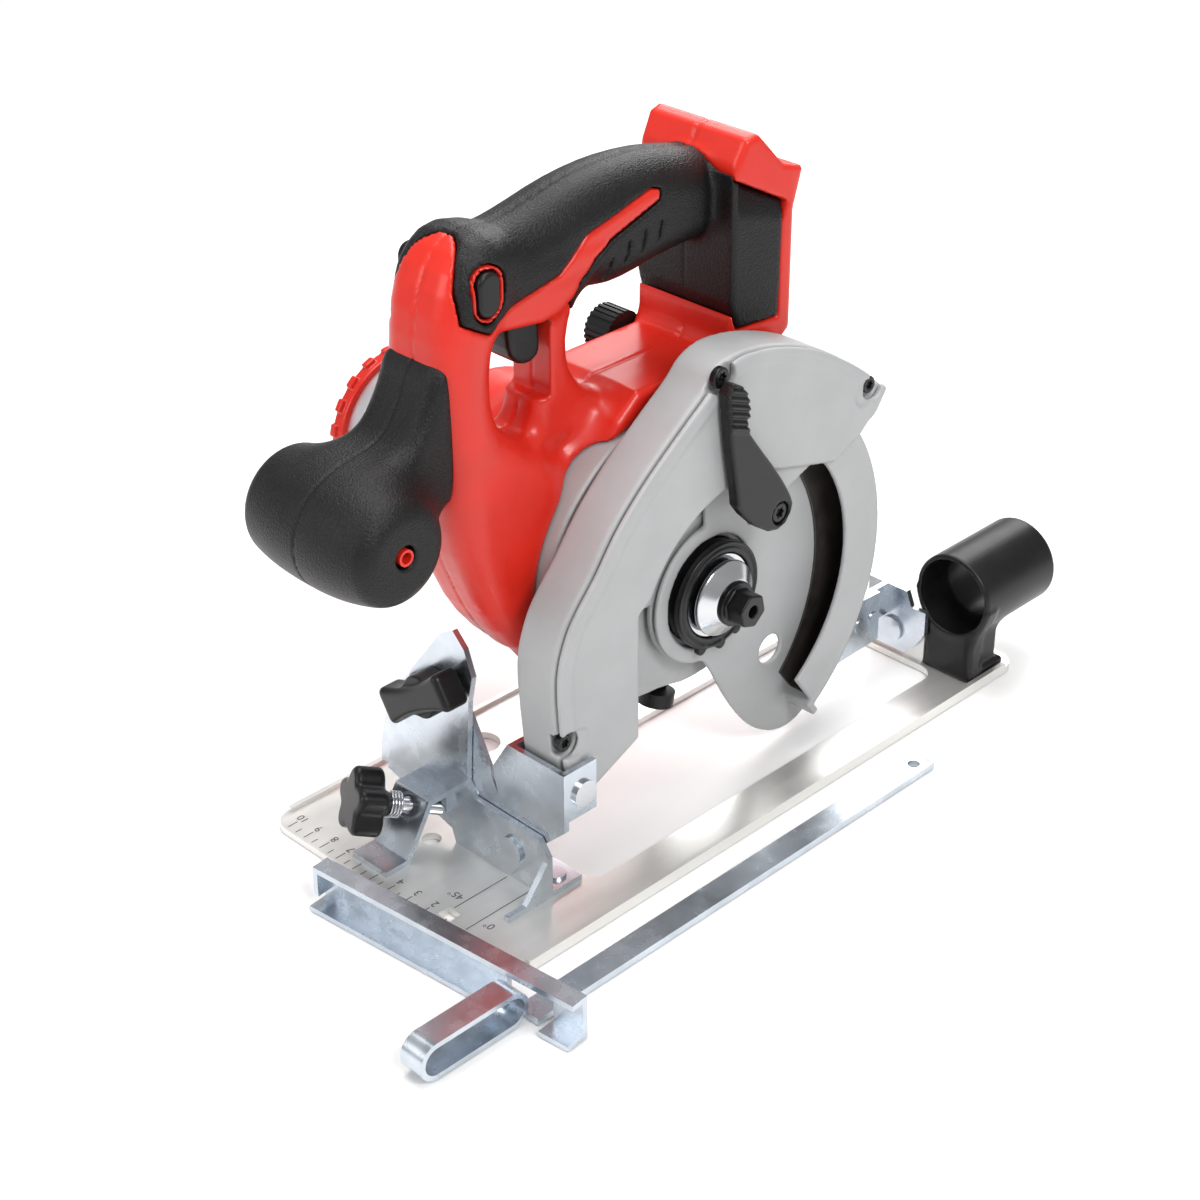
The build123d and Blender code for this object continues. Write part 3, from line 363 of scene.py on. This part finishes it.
# ---- places and sizes of details ----
HOUSING_SCREWS = [(14.0, 232.0), (28.0, 122.0), (73.0, 183.5), (160.0, 188.5), (158.0, 257.0)]
GRIP_GROOVES = [(90.5, 234), (99, 238), (107.5, 240.5), (116, 242)]
COVER_SCREWS = [(31.5, 71.0), (202.5, 160.5)]
LEVER_SCREW = (140.5, 130.0)
LEVER_STOP = (112.0, 195.0)
POCKET = (112.0, 195.5)            # recess around the lever's top end
SIGHT_HOLE, SIGHT_HOLE_R = (164.6, 47.4), 6.5
BUTTON = (27.5, 244.5)             # lock-off bar
BUTTON_TALL = 3.5                  # half the straight part of its upright oval
SEAM_HALF = 0.35                   # half the width of a parting line
CAN_R, CAN_END = 31.0, 151.5
CASE_R = 61.6
CAVITY_R = 89.3                    # inside of the upper guard
RIM_R = 86.0                       # middle of the lower guard's rim
LOWER_NEAR, LOWER_FAR = -8.7, 7.0  # near and far faces of the lower guard
LUG_ANGLES = (-112, -84, -60)      # of the three lugs on the hub ring
WING_AT, WING_TILT = (51.0, 73.0), math.radians(32)     # y and z
WING_HALF = 20.5
SCREW_AT = np.array((9.0, 55.6, 21.8))                  # fence screw, and its three directions
OUT = np.array((-0.8559, 0.4109, 0.3142))
ACROSS = np.array((0.4328, 0.9015, 0.0))
SIDE = np.cross(OUT, ACROSS)
COIL_TURNS, COIL_STEPS = 4, 120
COIL_R, COIL_START, COIL_LONG = 4.9, 4.4, 5.2
PORT = (-17.0, 42.0)               # dust port, y and z
INK_Z = 3.06                       # just above the shoe's upper face
TICK_START, TICK_LONG, TICK_SHORT = -18.6, 5.0, 3.2
FIGURE_TALL = 5.0


# ---- parts of shapes ----
def smooth(t):
    """Eases from 0 to 1."""
    return t * t * (3 - 2 * t)


def away(f, centre):
    """Distance from an axis along Y."""
    return np.hypot(f.x - centre[0], f.z - centre[1])


def seam(f, form, depth):
    """Parting line of a moulding, cut to a depth below its surface."""
    return np.maximum(np.abs(f.y - SPLIT_Y) - SEAM_HALF, -form - depth)


def oval(f, radius):
    """Upright oval around the lock-off bar, endless along Y."""
    tall = np.maximum(np.abs(f.z - BUTTON[1]) - BUTTON_TALL, 0)
    return np.hypot(f.x - BUTTON[0], tall) - radius


def housing_form(f):
    """The whole moulded body before it is parted into red and black."""
    column = prism_y(f, soften(COLUMN, 1), SPLIT_Y - 18, SPLIT_Y + 18, 10.4)
    strut = prism_y(f, soften(STRUT, 1), SPLIT_Y - 9, SPLIT_Y + 9, 4.5)
    grip = prism_y(f, soften(GRIP, 1), SPLIT_Y - 16.5, SPLIT_Y + 16.5, 15)
    skirt = prism_y(f, soften(SKIRT, 1), SPLIT_Y - 16, SPLIT_Y + 16, 3.5)
    foot = meet(flat_shape(f.x, f.y, FOOT_PLAN), flat_shape(f.x, f.z, FOOT_SIDE), 2.0)
    spine = prism_y(f, SPINE, 15.6, 64, 3)
    lean = np.clip((f.y - 32) / 40, 0, 1)       # from the gear case's axis to the motor's
    axis_x = CASE[0] + (MOTOR[0] - CASE[0]) * lean
    axis_z = CASE[1] + (MOTOR[1] - CASE[1]) * lean
    first_step = smooth(np.clip((f.y - 31) / 28, 0, 1))
    second_step = smooth(np.clip((f.y - 60) / 26, 0, 1))
    radius = 65 - 14 * first_step - 9 * second_step
    slope = 0.94                                # keeps the distance true on the leaning wall
    barrel = slope * (np.hypot(f.x - axis_x, f.z - axis_z) - radius)
    barrel = meet(barrel, between(f.y, 25.5, 102), 3)
    body = join(join(join(barrel, column, 14), spine, 12), strut, 13)
    handle = join(join(column, grip, 6), skirt, 4)
    handle = join(handle, strut, 8)
    handle = join(handle, foot, 6)
    return join(body, handle, 7)


def lever_pocket(f):
    """Recess in the guard's top edge that frees the lever and its stop screw."""
    return rod_y(f, POCKET, 7.0, -30, -8.0, 0.5)


def screw_pocket(f, place):
    """Deep round pocket with a shallow lobe towards the middle of the guard."""
    x, z = place
    aside = 5.0 if x < 100 else -5.0
    deep = rod_y(f, place, 5.6, -30, -5.0, 0.3)
    return np.minimum(deep, rod_y(f, (x + aside, z - 1), 5.6, -30, -11.0, 0.3))


def drive_screw(name, centre, radius, head, body, nodes=()):
    """Pan head facing -Y with a six-lobed socket."""
    x, z = centre
    f = Field((x - radius - 1, head - 1, z - radius - 1), (x + radius + 1, head + 4, z + radius + 1), 0.22)
    turn = np.arctan2(f.z - z, f.x - x)
    gap = away(f, centre)
    screw = meet(gap - radius, between(f.y, head, head + 3), 0.6)
    socket = radius * (0.48 + 0.09 * np.cos(6 * turn))
    screw = cut(screw, np.maximum(gap - socket, f.y - head - 1.6), 0.1)
    sculpt(name, f, screw, DARK_STEEL, body, nodes)


def tube(name, path, radius, sides, material, body, nodes):
    """Round wire along a path."""
    path = np.array(path, float)
    ahead = np.gradient(path, axis=0)
    ahead /= np.linalg.norm(ahead, axis=1)[:, None]
    normal = np.cross(ahead[0], (0.3, 0.9, 0.31))
    points = []
    for at, way in zip(path, ahead):
        normal = normal - way * (normal @ way)
        normal /= np.linalg.norm(normal)
        other = np.cross(way, normal)
        for k in range(sides):
            a = 2 * math.pi * k / sides
            points.append(at + radius * (normal * math.cos(a) + other * math.sin(a)))
    faces = []
    for i in range(len(path) - 1):
        here, there = i * sides, (i + 1) * sides
        for k in range(sides):
            after = (k + 1) % sides
            faces.append((here + k, here + after, there + after, there + k))
    shown(new_object(name, np.array(points), np.array(faces)), material, body, nodes)


# ---- pieces ----
def make_housing():
    """Red shell and black grip, parted along BLACK_AREA."""
    f = Field((-2, 8, 44), (188, 106, 274), 1.1)
    form = housing_form(f)
    form = cut(form, rod_y(f, CASE, 62.0, 0, 31, 0.5), 1.6)                # seat of the gear case
    form = cut(form, rod_y(f, SPIN, 46.0, 0, 29, 0.5), 1.0)
    form = cut(form, rod_y(f, MOTOR, 31.5, 93, 140, 0.2), 1.0)             # mouth around the motor can
    form = cut(form, block(f, 45, 65, 29, 51, 190, 241.5, 1.5), 1.0)       # slot of the trigger
    form = cut(form, block(f, 178.5, 200, 20, 60, 180, 248, 1.0), 0.8)     # bay of the battery
    for place in HOUSING_SCREWS:
        form = cut(form, rod_y(f, place, 2.8, SPLIT_Y + 6, 110, 0.3), 0.4)
    black_area = flat_shape(f.x, f.z, BLACK_AREA)
    tongue = 27 - 14 * (np.abs(f.y - SPLIT_Y) / 15) ** 2                   # red runs up over the grip's nose
    black_area = np.maximum(black_area, np.where(f.z > 240, tongue - f.x, -50))
    black_area = np.maximum(black_area, -oval(f, 7.2))                     # red ring around the lock-off bar

    red = cut(meet(form, -black_area + 0.25, 0.7), seam(f, form, 0.6))
    red = cut(red, oval(f, 5.8) + 0 * f.y, 0.5)
    black = cut(meet(form - 0.35, black_area + 0.25, 0.7), seam(f, form, 0.3))
    shoulder = np.maximum((28.8 - 0.5 * (f.z - 233) - np.abs(f.y - SPLIT_Y)) * 0.88, 233 - f.z)
    black = cut(black, np.maximum(shoulder, 149.5 - f.x), 0.8)
    for x, z in GRIP_GROOVES:
        groove = np.maximum(np.abs(f.x - x - 0.2 * (f.z - z)) - 0.7, np.abs(f.z - z) - 4.2)
        groove = np.maximum(np.maximum(groove, -form - 1.9), 8 - np.abs(f.y - SPLIT_Y))
        black = cut(black, groove, 0.3)
    sculpt("housing_shell", f, red, RED, "saw", ["housing_left", "housing_right"])
    sculpt("handle_grip", f, black, SOFT, "saw", ["grip_left", "grip_right"])


def make_housing_screws():
    for i, (x, z) in enumerate(HOUSING_SCREWS):
        f = Field((x - 3, SPLIT_Y - 5, z - 3), (x + 3, SPLIT_Y + 8, z + 3), 0.3)
        head = rod_y(f, (x, z), 2.3, SPLIT_Y - 4, SPLIT_Y + 7, 0.3)
        head = cut(head, rod_y(f, (x, z), 1.1, SPLIT_Y + 5, 60, 0.1), 0.1)
        nodes = ["handle_screws"] if i == 0 else ()
        sculpt(f"housing_screw_{i}", f, head, DARK_STEEL, "saw", nodes)


def make_battery_guides():
    f = Field((170, 20, 192), (184, 60, 248), 0.6)
    rails = np.minimum(block(f, 174, 181, 21, 24, 196, 244, 0.5), block(f, 174, 181, 56, 59, 196, 244, 0.5))
    for y0, y1 in ((21, 28), (52, 59)):         # lips that turn inwards
        rails = np.minimum(rails, block(f, 178, 181, y0, y1, 196, 244, 0.5))
    sculpt("battery_guides", f, rails, BLACK, "saw", ["battery_rails"])


def make_motor():
    """Toothed red end cap with vents, and the bare can in front of it."""
    f = Field((56, 142, 86), (134, 159, 164), 0.6)
    gap = away(f, MOTOR)
    turn = np.arctan2(f.z - MOTOR[1], f.x - MOTOR[0])
    ring = meet(gap - 33.6, between(f.y, 150.8, 157), 0.8)
    teeth = np.maximum(gap - 35.2, -np.sin(20 * turn) * 1.7)
    ring = join(ring, meet(teeth, between(f.y, 153.6, 157), 0.5), 0.5)
    vents = np.maximum(np.maximum(gap - 27, 13 - gap), (np.abs(np.sin(5 * turn)) - 0.62) * gap / 5)
    ring = cut(ring, np.maximum(vents, 152 - f.y), 0.4)
    sculpt("end_cap_ring", f, ring, RED, "saw", ["motor_end_cap"])

    f = Field((60, 88, 90), (130, 153, 160), 0.7)
    gap = away(f, MOTOR)
    can = meet(gap - CAN_R, between(f.y, 90, CAN_END), 0.5)
    can = cut(can, np.maximum(gap - 29, f.y - 149))
    can = cut(can, np.maximum(np.abs(gap - 31) - 0.4, np.abs(f.y - 143) - 0.5), 0.2)
    sculpt("motor_can_tube", f, can, CAN, "saw", ["motor_can"])


def make_hand_controls():
    f = Field((20, 17, 232), (35, 66, 257), 0.5)
    button = meet(oval(f, 5.0) + 0 * f.y, between(f.y, SPLIT_Y - 20, SPLIT_Y + 23.5), 1.4)
    sculpt("lock_off_bar", f, button, BLACK, "lock_off", ["lock_off_button"])

    f = Field((44, 29, 202), (66, 51, 236), 0.5)
    trigger = prism_y(f, soften(TRIGGER, 1), SPLIT_Y - 8, SPLIT_Y + 8, 2.6)
    sculpt("trigger_lever", f, trigger, BLACK, "trigger", ["trigger"])


def make_front_handle():
    """Barrel-shaped bar across the saw, on a neck that wraps the front of the column."""
    f = Field((-56, 4, 138), (26, 80, 230), 0.8)
    middle = (KNOB[0], KNOB[2])
    along = (f.y - KNOB[1]) / 33.0
    far_swell = 24.3 - 3.6 * np.abs(along) ** 2.6
    near_swell = 24.3 - 6.2 * np.abs(along) ** 2.2
    swell = np.where(along < 0, near_swell, far_swell)
    bar = meet(0.93 * (away(f, middle) - swell), between(f.y, KNOB[1] - 32, KNOB[1] + 35), 6)
    neck = prism_y(f, soften(NECK, 2), SPLIT_Y - 16.5, SPLIT_Y + 16.5, 7)
    knob = join(bar, neck, 13)
    column = [(x + 0.6, z) for x, z in soften(COLUMN, 1)]
    knob = cut(knob, prism_y(f, column, SPLIT_Y - 14, SPLIT_Y + 14, 2))
    knob = cut(knob, seam(f, knob, 0.6))
    knob = cut(knob, rod_y(f, middle, 4.4, 0, 22, 0.3), 0.8)
    sculpt("front_handle", f, knob, SOFT, "saw", ["front_knob_left", "front_knob_right"])


def make_upper_guard():
    """Cast guard around the blade, and the thin plate that closes its near side."""
    f = Field((20, -16, 38), (216, 13, 203), 0.85)
    outline = flat_shape(f.x, f.z, GUARD)
    hub_gap = away(f, SPIN)
    shell = meet(outline, between(f.y, -9.0, GUARD_FAR), 1.5)
    back = meet(hub_gap - 58, between(f.y, 7.4, GUARD_FAR), 1.0)
    shell = join(shell, meet(back, 96 - f.z, 1.0), 1.0)
    shell = join(shell, rod_y(f, SPIN, 31, 8, GUARD_FAR, 1.0), 1.0)
    shell = cut(shell, np.maximum(hub_gap - CAVITY_R, between(f.y, -30, 8)), 0.6)
    shell = cut(shell, hub_gap - 22.2)
    for place in COVER_SCREWS:
        shell = cut(shell, screw_pocket(f, place), 0.4)
    shell = cut(shell, lever_pocket(f), 0.4)
    sculpt("guard_casting", f, shell, CAST, "saw", ["upper_guard"])

    border = -flat_shape(f.x, f.z, OUTER_EDGE + GUARD_INNER)              # distance in from the outer edge
    face = -12.4 + 0.6 * smooth(np.clip((border - 6.5) / 1.6, 0, 1))      # the border stands a little proud
    cover = meet(outline, between(f.y, face, -9.4), 2.4)
    cover = cut(cover, np.maximum(np.abs(border - 3.4) - 0.3, f.y + 12.15), 0.35)
    for place in COVER_SCREWS:
        cover = cut(cover, screw_pocket(f, place), 0.9)
    cover = cut(cover, lever_pocket(f), 0.8)
    sculpt("guard_cover_plate", f, cover, CAST, "saw", ["guard_cover"])


def make_gear_case():
    f = Field((42, 10, 40), (176, 32, 178), 0.9)
    case = rod_y(f, CASE, CASE_R, 13.5, 29.5, 1.5)
    case = join(case, rod_y(f, SPIN, 44, 13.5, 26, 1.0), 2)
    case = cut(case, rod_y(f, SPIN, 22.5, 0, 32))
    sculpt("gear_case_shell", f, case, CAST, "saw", ["gear_case"])


def make_lower_guard():
    """Sprung guard: a disc behind the blade, a rim around it and a flange in front, and a dark sheet inside
    the rim: the wall's own darker tone, with painted shade over it and over a crescent of the disc.
    """
    f = Field((94, -11, 0), (222, 10, 178), 0.8)
    hub_gap = away(f, SPIN)
    angle = np.degrees(np.arctan2(f.z - SPIN[1], f.x - SPIN[0]))
    arc_len = np.radians(1.0) * 76              # length of one degree near the rim
    inside_arc = np.maximum(-56 - angle, angle - 62) * arc_len
    inside_flange = np.maximum(-54 - angle, angle - 76) * arc_len
    inside_disc = np.maximum(-60 - angle, angle - 96) * 0.9 * arc_len
    disc = join(hub_gap - 31, flat_shape(f.x, f.z, LOBE), 6)
    disc = join(disc, np.maximum(hub_gap - 86.5, inside_disc), 3)
    disc = meet(disc, between(f.y, 5.0, LOWER_FAR), 0.8)
    rim = np.maximum(np.abs(hub_gap - RIM_R) - 1.5, inside_arc)
    rim = meet(rim, between(f.y, LOWER_NEAR, LOWER_FAR), 1.0)
    flange = meet(np.maximum(np.abs(hub_gap - 77) - 10, inside_flange), between(f.y, LOWER_NEAR, -6.4), 0.8)
    arm = prism_y(f, LEVER_ARM, LOWER_NEAR, -6.4, 0.6)
    lip = np.maximum(np.abs(hub_gap - 89) - 3.5, np.abs(angle + 55) * arc_len - 1.4)
    lip = meet(lip, between(f.y, LOWER_NEAR, LOWER_FAR), 0.6)
    lower = join(join(join(disc, rim, 2.5), join(flange, arm, 1), 1.5), lip, 1)
    lower = np.maximum(lower, f.y - LOWER_FAR)
    lower = cut(lower, hub_gap - 24.2)
    lower = cut(lower, rod_y(f, SIGHT_HOLE, SIGHT_HOLE_R, -30, 30), 0.4)
    sculpt("lower_guard_shell", f, lower, CAST, "lower_guard", ["lower_guard"])

    f = Field((130, -8, 4), (216, 7, 178), 0.45)
    hub_gap = away(f, SPIN)
    angle = np.degrees(np.arctan2(f.z - SPIN[1], f.x - SPIN[0]))
    inside_arc = np.maximum(-53 - angle, angle - 62) * arc_len
    # Painted shade: a dark crescent on the disc next to the rim, and the rim's inner wall darkened past its
    # own tone.
    shaded_crescent = np.maximum(hub_gap - 84.5, 74 - np.hypot(f.x - SPIN[0] + 11, f.z - SPIN[1] + 7))
    wall = meet(np.abs(hub_gap - 84.2) - 0.5, between(f.y, -6.2, 5.0), 0.1)
    wall_and_shade = np.minimum(wall, np.maximum(shaded_crescent, between(f.y, 4.2, 5.0)))
    wall_and_shade = np.maximum(wall_and_shade, inside_arc)
    sculpt("lower_guard_wall_and_painted_shade", f, wall_and_shade, DARK_WALL_AND_SHADE, "lower_guard", ())


def make_guard_lever():
    """Thumb lever of the lower guard, ridged at its upper end."""
    f = Field((100, -22, 118), (153, -5, 201), 0.55)
    ridge_at = f.z + 0.4 * (f.x - 113)
    wave = 0.55 * (1 + np.cos((ridge_at - 177) * 2 * np.pi / 3.2))
    ridges = np.where((ridge_at > 177) & (ridge_at < 193), wave, 0)
    front = -19.6 + 1.3 * np.clip((176 - ridge_at) / 2.0, 0, 1) - 0.5 * np.clip((150 - f.z) / 25, 0, 1)
    lever = meet(flat_shape(f.x, f.z, soften(LEVER, 1)), between(f.y, front + ridges, -12.9), 1.2)
    lever = join(lever, rod_y(f, LEVER_SCREW, 8, -13.5, -8.8, 0.5), 1)
    lever = cut(lever, rod_y(f, LEVER_SCREW, 4.8, -30, -16.6, 0.3), 0.6)
    sculpt("guard_lever_body", f, lever, BLACK, "lower_guard", ["guard_lever"])


def make_guard_screws():
    drive_screw("cover_screw_front", COVER_SCREWS[0], 3.6, -9.6, "saw", ["cover_screws"])
    drive_screw("cover_screw_rear", COVER_SCREWS[1], 3.6, -9.6, "saw")
    drive_screw("lever_stop_screw", LEVER_STOP, 4.2, -12.0, "saw")
    drive_screw("lever_pivot_screw", LEVER_SCREW, 4.1, -18.0, "lower_guard", ["lever_screw"])


def make_hub():
    """Collar ring with lugs, conical flange, and the hexagon bolt that holds the blade."""
    f = Field((100, -4, 62), (154, 15, 118), 0.5)
    gap = away(f, SPIN)
    collar = meet(np.abs(gap - 20.6) - 2.4, between(f.y, 0.2, 3.6), 0.7)
    collar = join(collar, meet(np.abs(gap - 20) - 1.9, between(f.y, 0.2, 14), 0.3), 0.4)
    collar = cut(collar, np.maximum(np.abs(gap - 21.0) - 0.35, f.y - 0.9), 0.3)
    for lug_angle in LUG_ANGLES:
        at = math.radians(lug_angle)
        place = (SPIN[0] + 23.4 * math.cos(at), SPIN[1] + 23.4 * math.sin(at))
        collar = join(collar, rod_y(f, place, 2.6, 0.6, 3.4, 0.5), 0.8)
    sculpt("hub_ring", f, collar, DARK_STEEL, "saw", ["hub_collar", "hub_circlip"])

    f = Field((107, -9, 71), (147, 0, 111), 0.4)
    cone_r = 9.5 + 6.6 * np.clip((f.y + 7.2) / 4.4, 0, 1)
    cone = meet(away(f, SPIN) - cone_r, between(f.y, -7.2, -1.0), 0.5)
    sculpt("clamp_flange", f, cone, STEEL, "spindle", ["outer_flange"])

    f = Field((116, -19, 80), (138, -6, 102), 0.3)
    flats = []
    for i in range(6):
        a = math.radians(60 * i + 12)
        flats.append((f.x - SPIN[0]) * math.cos(a) + (f.z - SPIN[1]) * math.sin(a) + 0 * f.y)
    hexagon = np.max(np.stack(flats), axis=0) - 6.6
    head = meet(hexagon, between(f.y, -17.8, -8), 0.8)
    head = meet(head, away(f, SPIN) - 7.3, 0.5)
    head = join(head, rod_y(f, SPIN, 9.4, -9.6, -7.0, 0.6), 1.0)
    head = cut(head, rod_y(f, SPIN, 2.6, -30, -13, 0.1), 0.4)
    sculpt("flange_bolt", f, head, DARK_STEEL, "spindle", ["blade_bolt"])


def make_bevel_knob():
    """Wing that widens towards both ends, on a round boss."""
    f = Field((7, 22, 50), (22, 80, 96), 0.5)
    across, rise = f.y - WING_AT[0], f.z - WING_AT[1]
    long = -across * math.cos(WING_TILT) + rise * math.sin(WING_TILT)
    wide = across * math.sin(WING_TILT) + rise * math.cos(WING_TILT)
    half_width = 5.4 + 3.0 * (long / WING_HALF) ** 2
    wing = meet(np.abs(long) - WING_HALF, 0.95 * (np.abs(wide) - half_width), 3.0)
    wing = meet(wing, between(f.x, 8.2, 20.5), 2.6)
    wing = join(wing, rod_x(f, WING_AT, 9.0, 12, 22, 0.6), 2)
    sculpt("bevel_wing_knob", f, wing, BLACK, "bevel_knob", ["bevel_lock_knob"])


def make_fence_screw():
    """Star knob with five points, and the coil spring on its screw."""
    f = Field((-34, 46, 10), (12, 84, 48), 0.5)
    from_screw = [f.x - SCREW_AT[0], f.y - SCREW_AT[1], f.z - SCREW_AT[2]]
    out, across, side = [sum(way[i] * from_screw[i] for i in range(3)) for way in (OUT, ACROSS, SIDE)]
    gap = np.hypot(side, across)
    star = 0.85 * (gap - 12.3 - 2.0 * np.cos(5 * np.arctan2(side, across)))
    star = meet(star, between(out, 13.2, 26), 2.4)
    star = join(star, meet(gap - 5.2, between(out, 10, 14), 0.5), 1)
    sculpt("fence_star_knob", f, star, BLACK, "fence_screw", ["fence_clamp_knob"])

    coil = []
    for i in range(COIL_STEPS + 1):
        a = 2 * math.pi * COIL_TURNS * i / COIL_STEPS
        along = OUT * (COIL_START + COIL_LONG * i / COIL_STEPS)
        coil.append(SCREW_AT + along + COIL_R * (SIDE * math.cos(a) + ACROSS * math.sin(a)))
    tube("fence_screw_spring", coil, 0.6, 8, STEEL, "shoe", ["fence_clamp_spring"])


def make_dust_port():
    """Round spigot on a saddle, open from end to end."""
    f = Field((257, -39, 2), (310, 5, 64), 0.7)
    port = rod_x(f, PORT, 19.3, 259, 308, 1.4)
    port = join(port, prism_x(f, SADDLE, 259, 266, 1.5), 3)
    port = join(port, block(f, 259, 280, -28, -6, 3, 30, 2), 5)
    port = join(port, block(f, 259, 283, -30, -5, 3, 7, 1.5), 2)
    bell_r = 17.0 - 1.8 * np.clip((f.x - 262) / 14, 0, 1)
    port = cut(port, np.hypot(f.y - PORT[0], f.z - PORT[1]) - bell_r, 0.8)
    sculpt("dust_port_moulding", f, port, BLACK, "shoe", ["dust_port"])


def ink_figure(name, text, x, y):
    """Generic numbers, read from the rear of the saw."""
    letters = bpy.data.curves.new(name, "FONT")
    letters.body, letters.size = text, FIGURE_TALL * MM
    letters.align_x, letters.align_y = "CENTER", "CENTER"
    writer = bpy.data.objects.new(name + "_curve", letters)
    mesh = bpy.data.meshes.new_from_object(writer)
    bpy.data.objects.remove(writer)
    place = Matrix.Translation((x * MM, y * MM, INK_Z * MM))
    mesh.transform(place @ Matrix.Rotation(math.radians(90), 4, "Z"))
    obj = bpy.data.objects.new(name, mesh)
    bpy.context.scene.collection.objects.link(obj)
    shown(obj, MARK, "shoe", ())


def make_scale():
    """Half-centimetre ticks, the two sight lines, and their figures."""
    bars = []
    for half_step in range(2, 21):
        y = 5.0 * half_step
        length = TICK_LONG if half_step % 2 == 0 else TICK_SHORT
        bars.append((TICK_START, TICK_START + length, y - 0.2, y + 0.2))
    bars += [(-13, 20.5, -0.2, 0.2), (-7, 20.5, 12.8, 13.2)]
    points = []
    for x0, x1, y0, y1 in bars:
        points += [(x0, y0, INK_Z), (x1, y0, INK_Z), (x1, y1, INK_Z), (x0, y1, INK_Z)]
    faces = np.arange(len(points)).reshape(-1, 4)
    shown(new_object("scale_ticks", points, faces), MARK, "shoe", ())
    for number in range(2, 11):
        ink_figure(f"scale_{number}", str(number), -10.6, 10.0 * number)
    ink_figure("angle_0", "0\u00b0", -5.0, -4.6)
    ink_figure("angle_45", "45\u00b0", -1.0, 18.6)


# ---- camera, light and floor, in metres ----
CAMERA_AT = Vector((-0.4984, -0.5583, 0.5844))
AZIMUTH, ELEVATION, ROLL = math.radians(-45.0), math.radians(30.6), math.radians(-0.3)
SENSOR_MM, LENS_MM = 36.0, 73.66
LIT_PLACE = (0.1, 0.02, 0.1)
LIGHTS = [("key", (-0.2, -1.1, 1.2), 0.5, 13), ("fill", (-1.2, 0.4, 0.8), 0.7, 6),
          ("top", (0.2, 0.2, 1.5), 1.0, 16), ("back", (1.1, 0.6, 0.9), 0.8, 9)]     # name, place, size, watts
WORLD_STRENGTH = 0.42
FLOOR_HALF, FLOOR_Z = 4.0, -0.0005


def make_camera():
    level = math.cos(ELEVATION)
    back = Vector((math.sin(AZIMUTH) * level, -math.cos(AZIMUTH) * level, math.sin(ELEVATION)))
    flat_right = Vector((math.cos(AZIMUTH), math.sin(AZIMUTH), 0))
    right = flat_right * math.cos(ROLL) + back.cross(flat_right) * math.sin(ROLL)
    up = back.cross(right)
    camera = bpy.data.objects.new("camera", bpy.data.cameras.new("camera"))
    camera.data.sensor_width, camera.data.lens = SENSOR_MM, LENS_MM
    camera.data.clip_start, camera.data.clip_end = 0.01, 20
    rows = [(right[i], up[i], back[i], CAMERA_AT[i]) for i in range(3)]
    camera.matrix_world = Matrix(rows + [(0, 0, 0, 1)])
    bpy.context.scene.collection.objects.link(camera)
    bpy.context.scene.camera = camera


def make_lights():
    for name, place, size, power in LIGHTS:
        data = bpy.data.lights.new(name, "AREA")
        data.energy, data.size = power, size
        lamp = bpy.data.objects.new(name, data)
        lamp.location = place
        lamp.rotation_euler = (Vector(LIT_PLACE) - Vector(place)).to_track_quat("-Z", "Y").to_euler()
        bpy.context.scene.collection.objects.link(lamp)
    world = bpy.data.worlds.new("studio")
    world.use_nodes = True
    background = world.node_tree.nodes["Background"]
    background.inputs["Color"].default_value = (1, 1, 1, 1)
    background.inputs["Strength"].default_value = WORLD_STRENGTH
    bpy.context.scene.world = world
    bpy.context.scene.view_settings.view_transform = "Standard"


def make_floor():
    mesh = bpy.data.meshes.new("floor")
    corners = [(-1, -1), (1, -1), (1, 1), (-1, 1)]
    mesh.from_pydata([(FLOOR_HALF * x, FLOOR_HALF * y, FLOOR_Z) for x, y in corners], [], [(0, 1, 2, 3)])
    floor = bpy.data.objects.new("floor", mesh)
    floor.data.materials.append(build_material("floor_paper", (0.93, 0.925, 0.92), 0.6, speck=0.005))
    bpy.context.scene.collection.objects.link(floor)


make_housing()
make_housing_screws()
make_battery_guides()
make_motor()
make_hand_controls()
make_front_handle()
make_upper_guard()
make_gear_case()
make_lower_guard()
make_guard_lever()
make_guard_screws()
make_hub()
make_bevel_knob()
make_fence_screw()
make_dust_port()
make_scale()
make_camera()
make_lights()
make_floor()
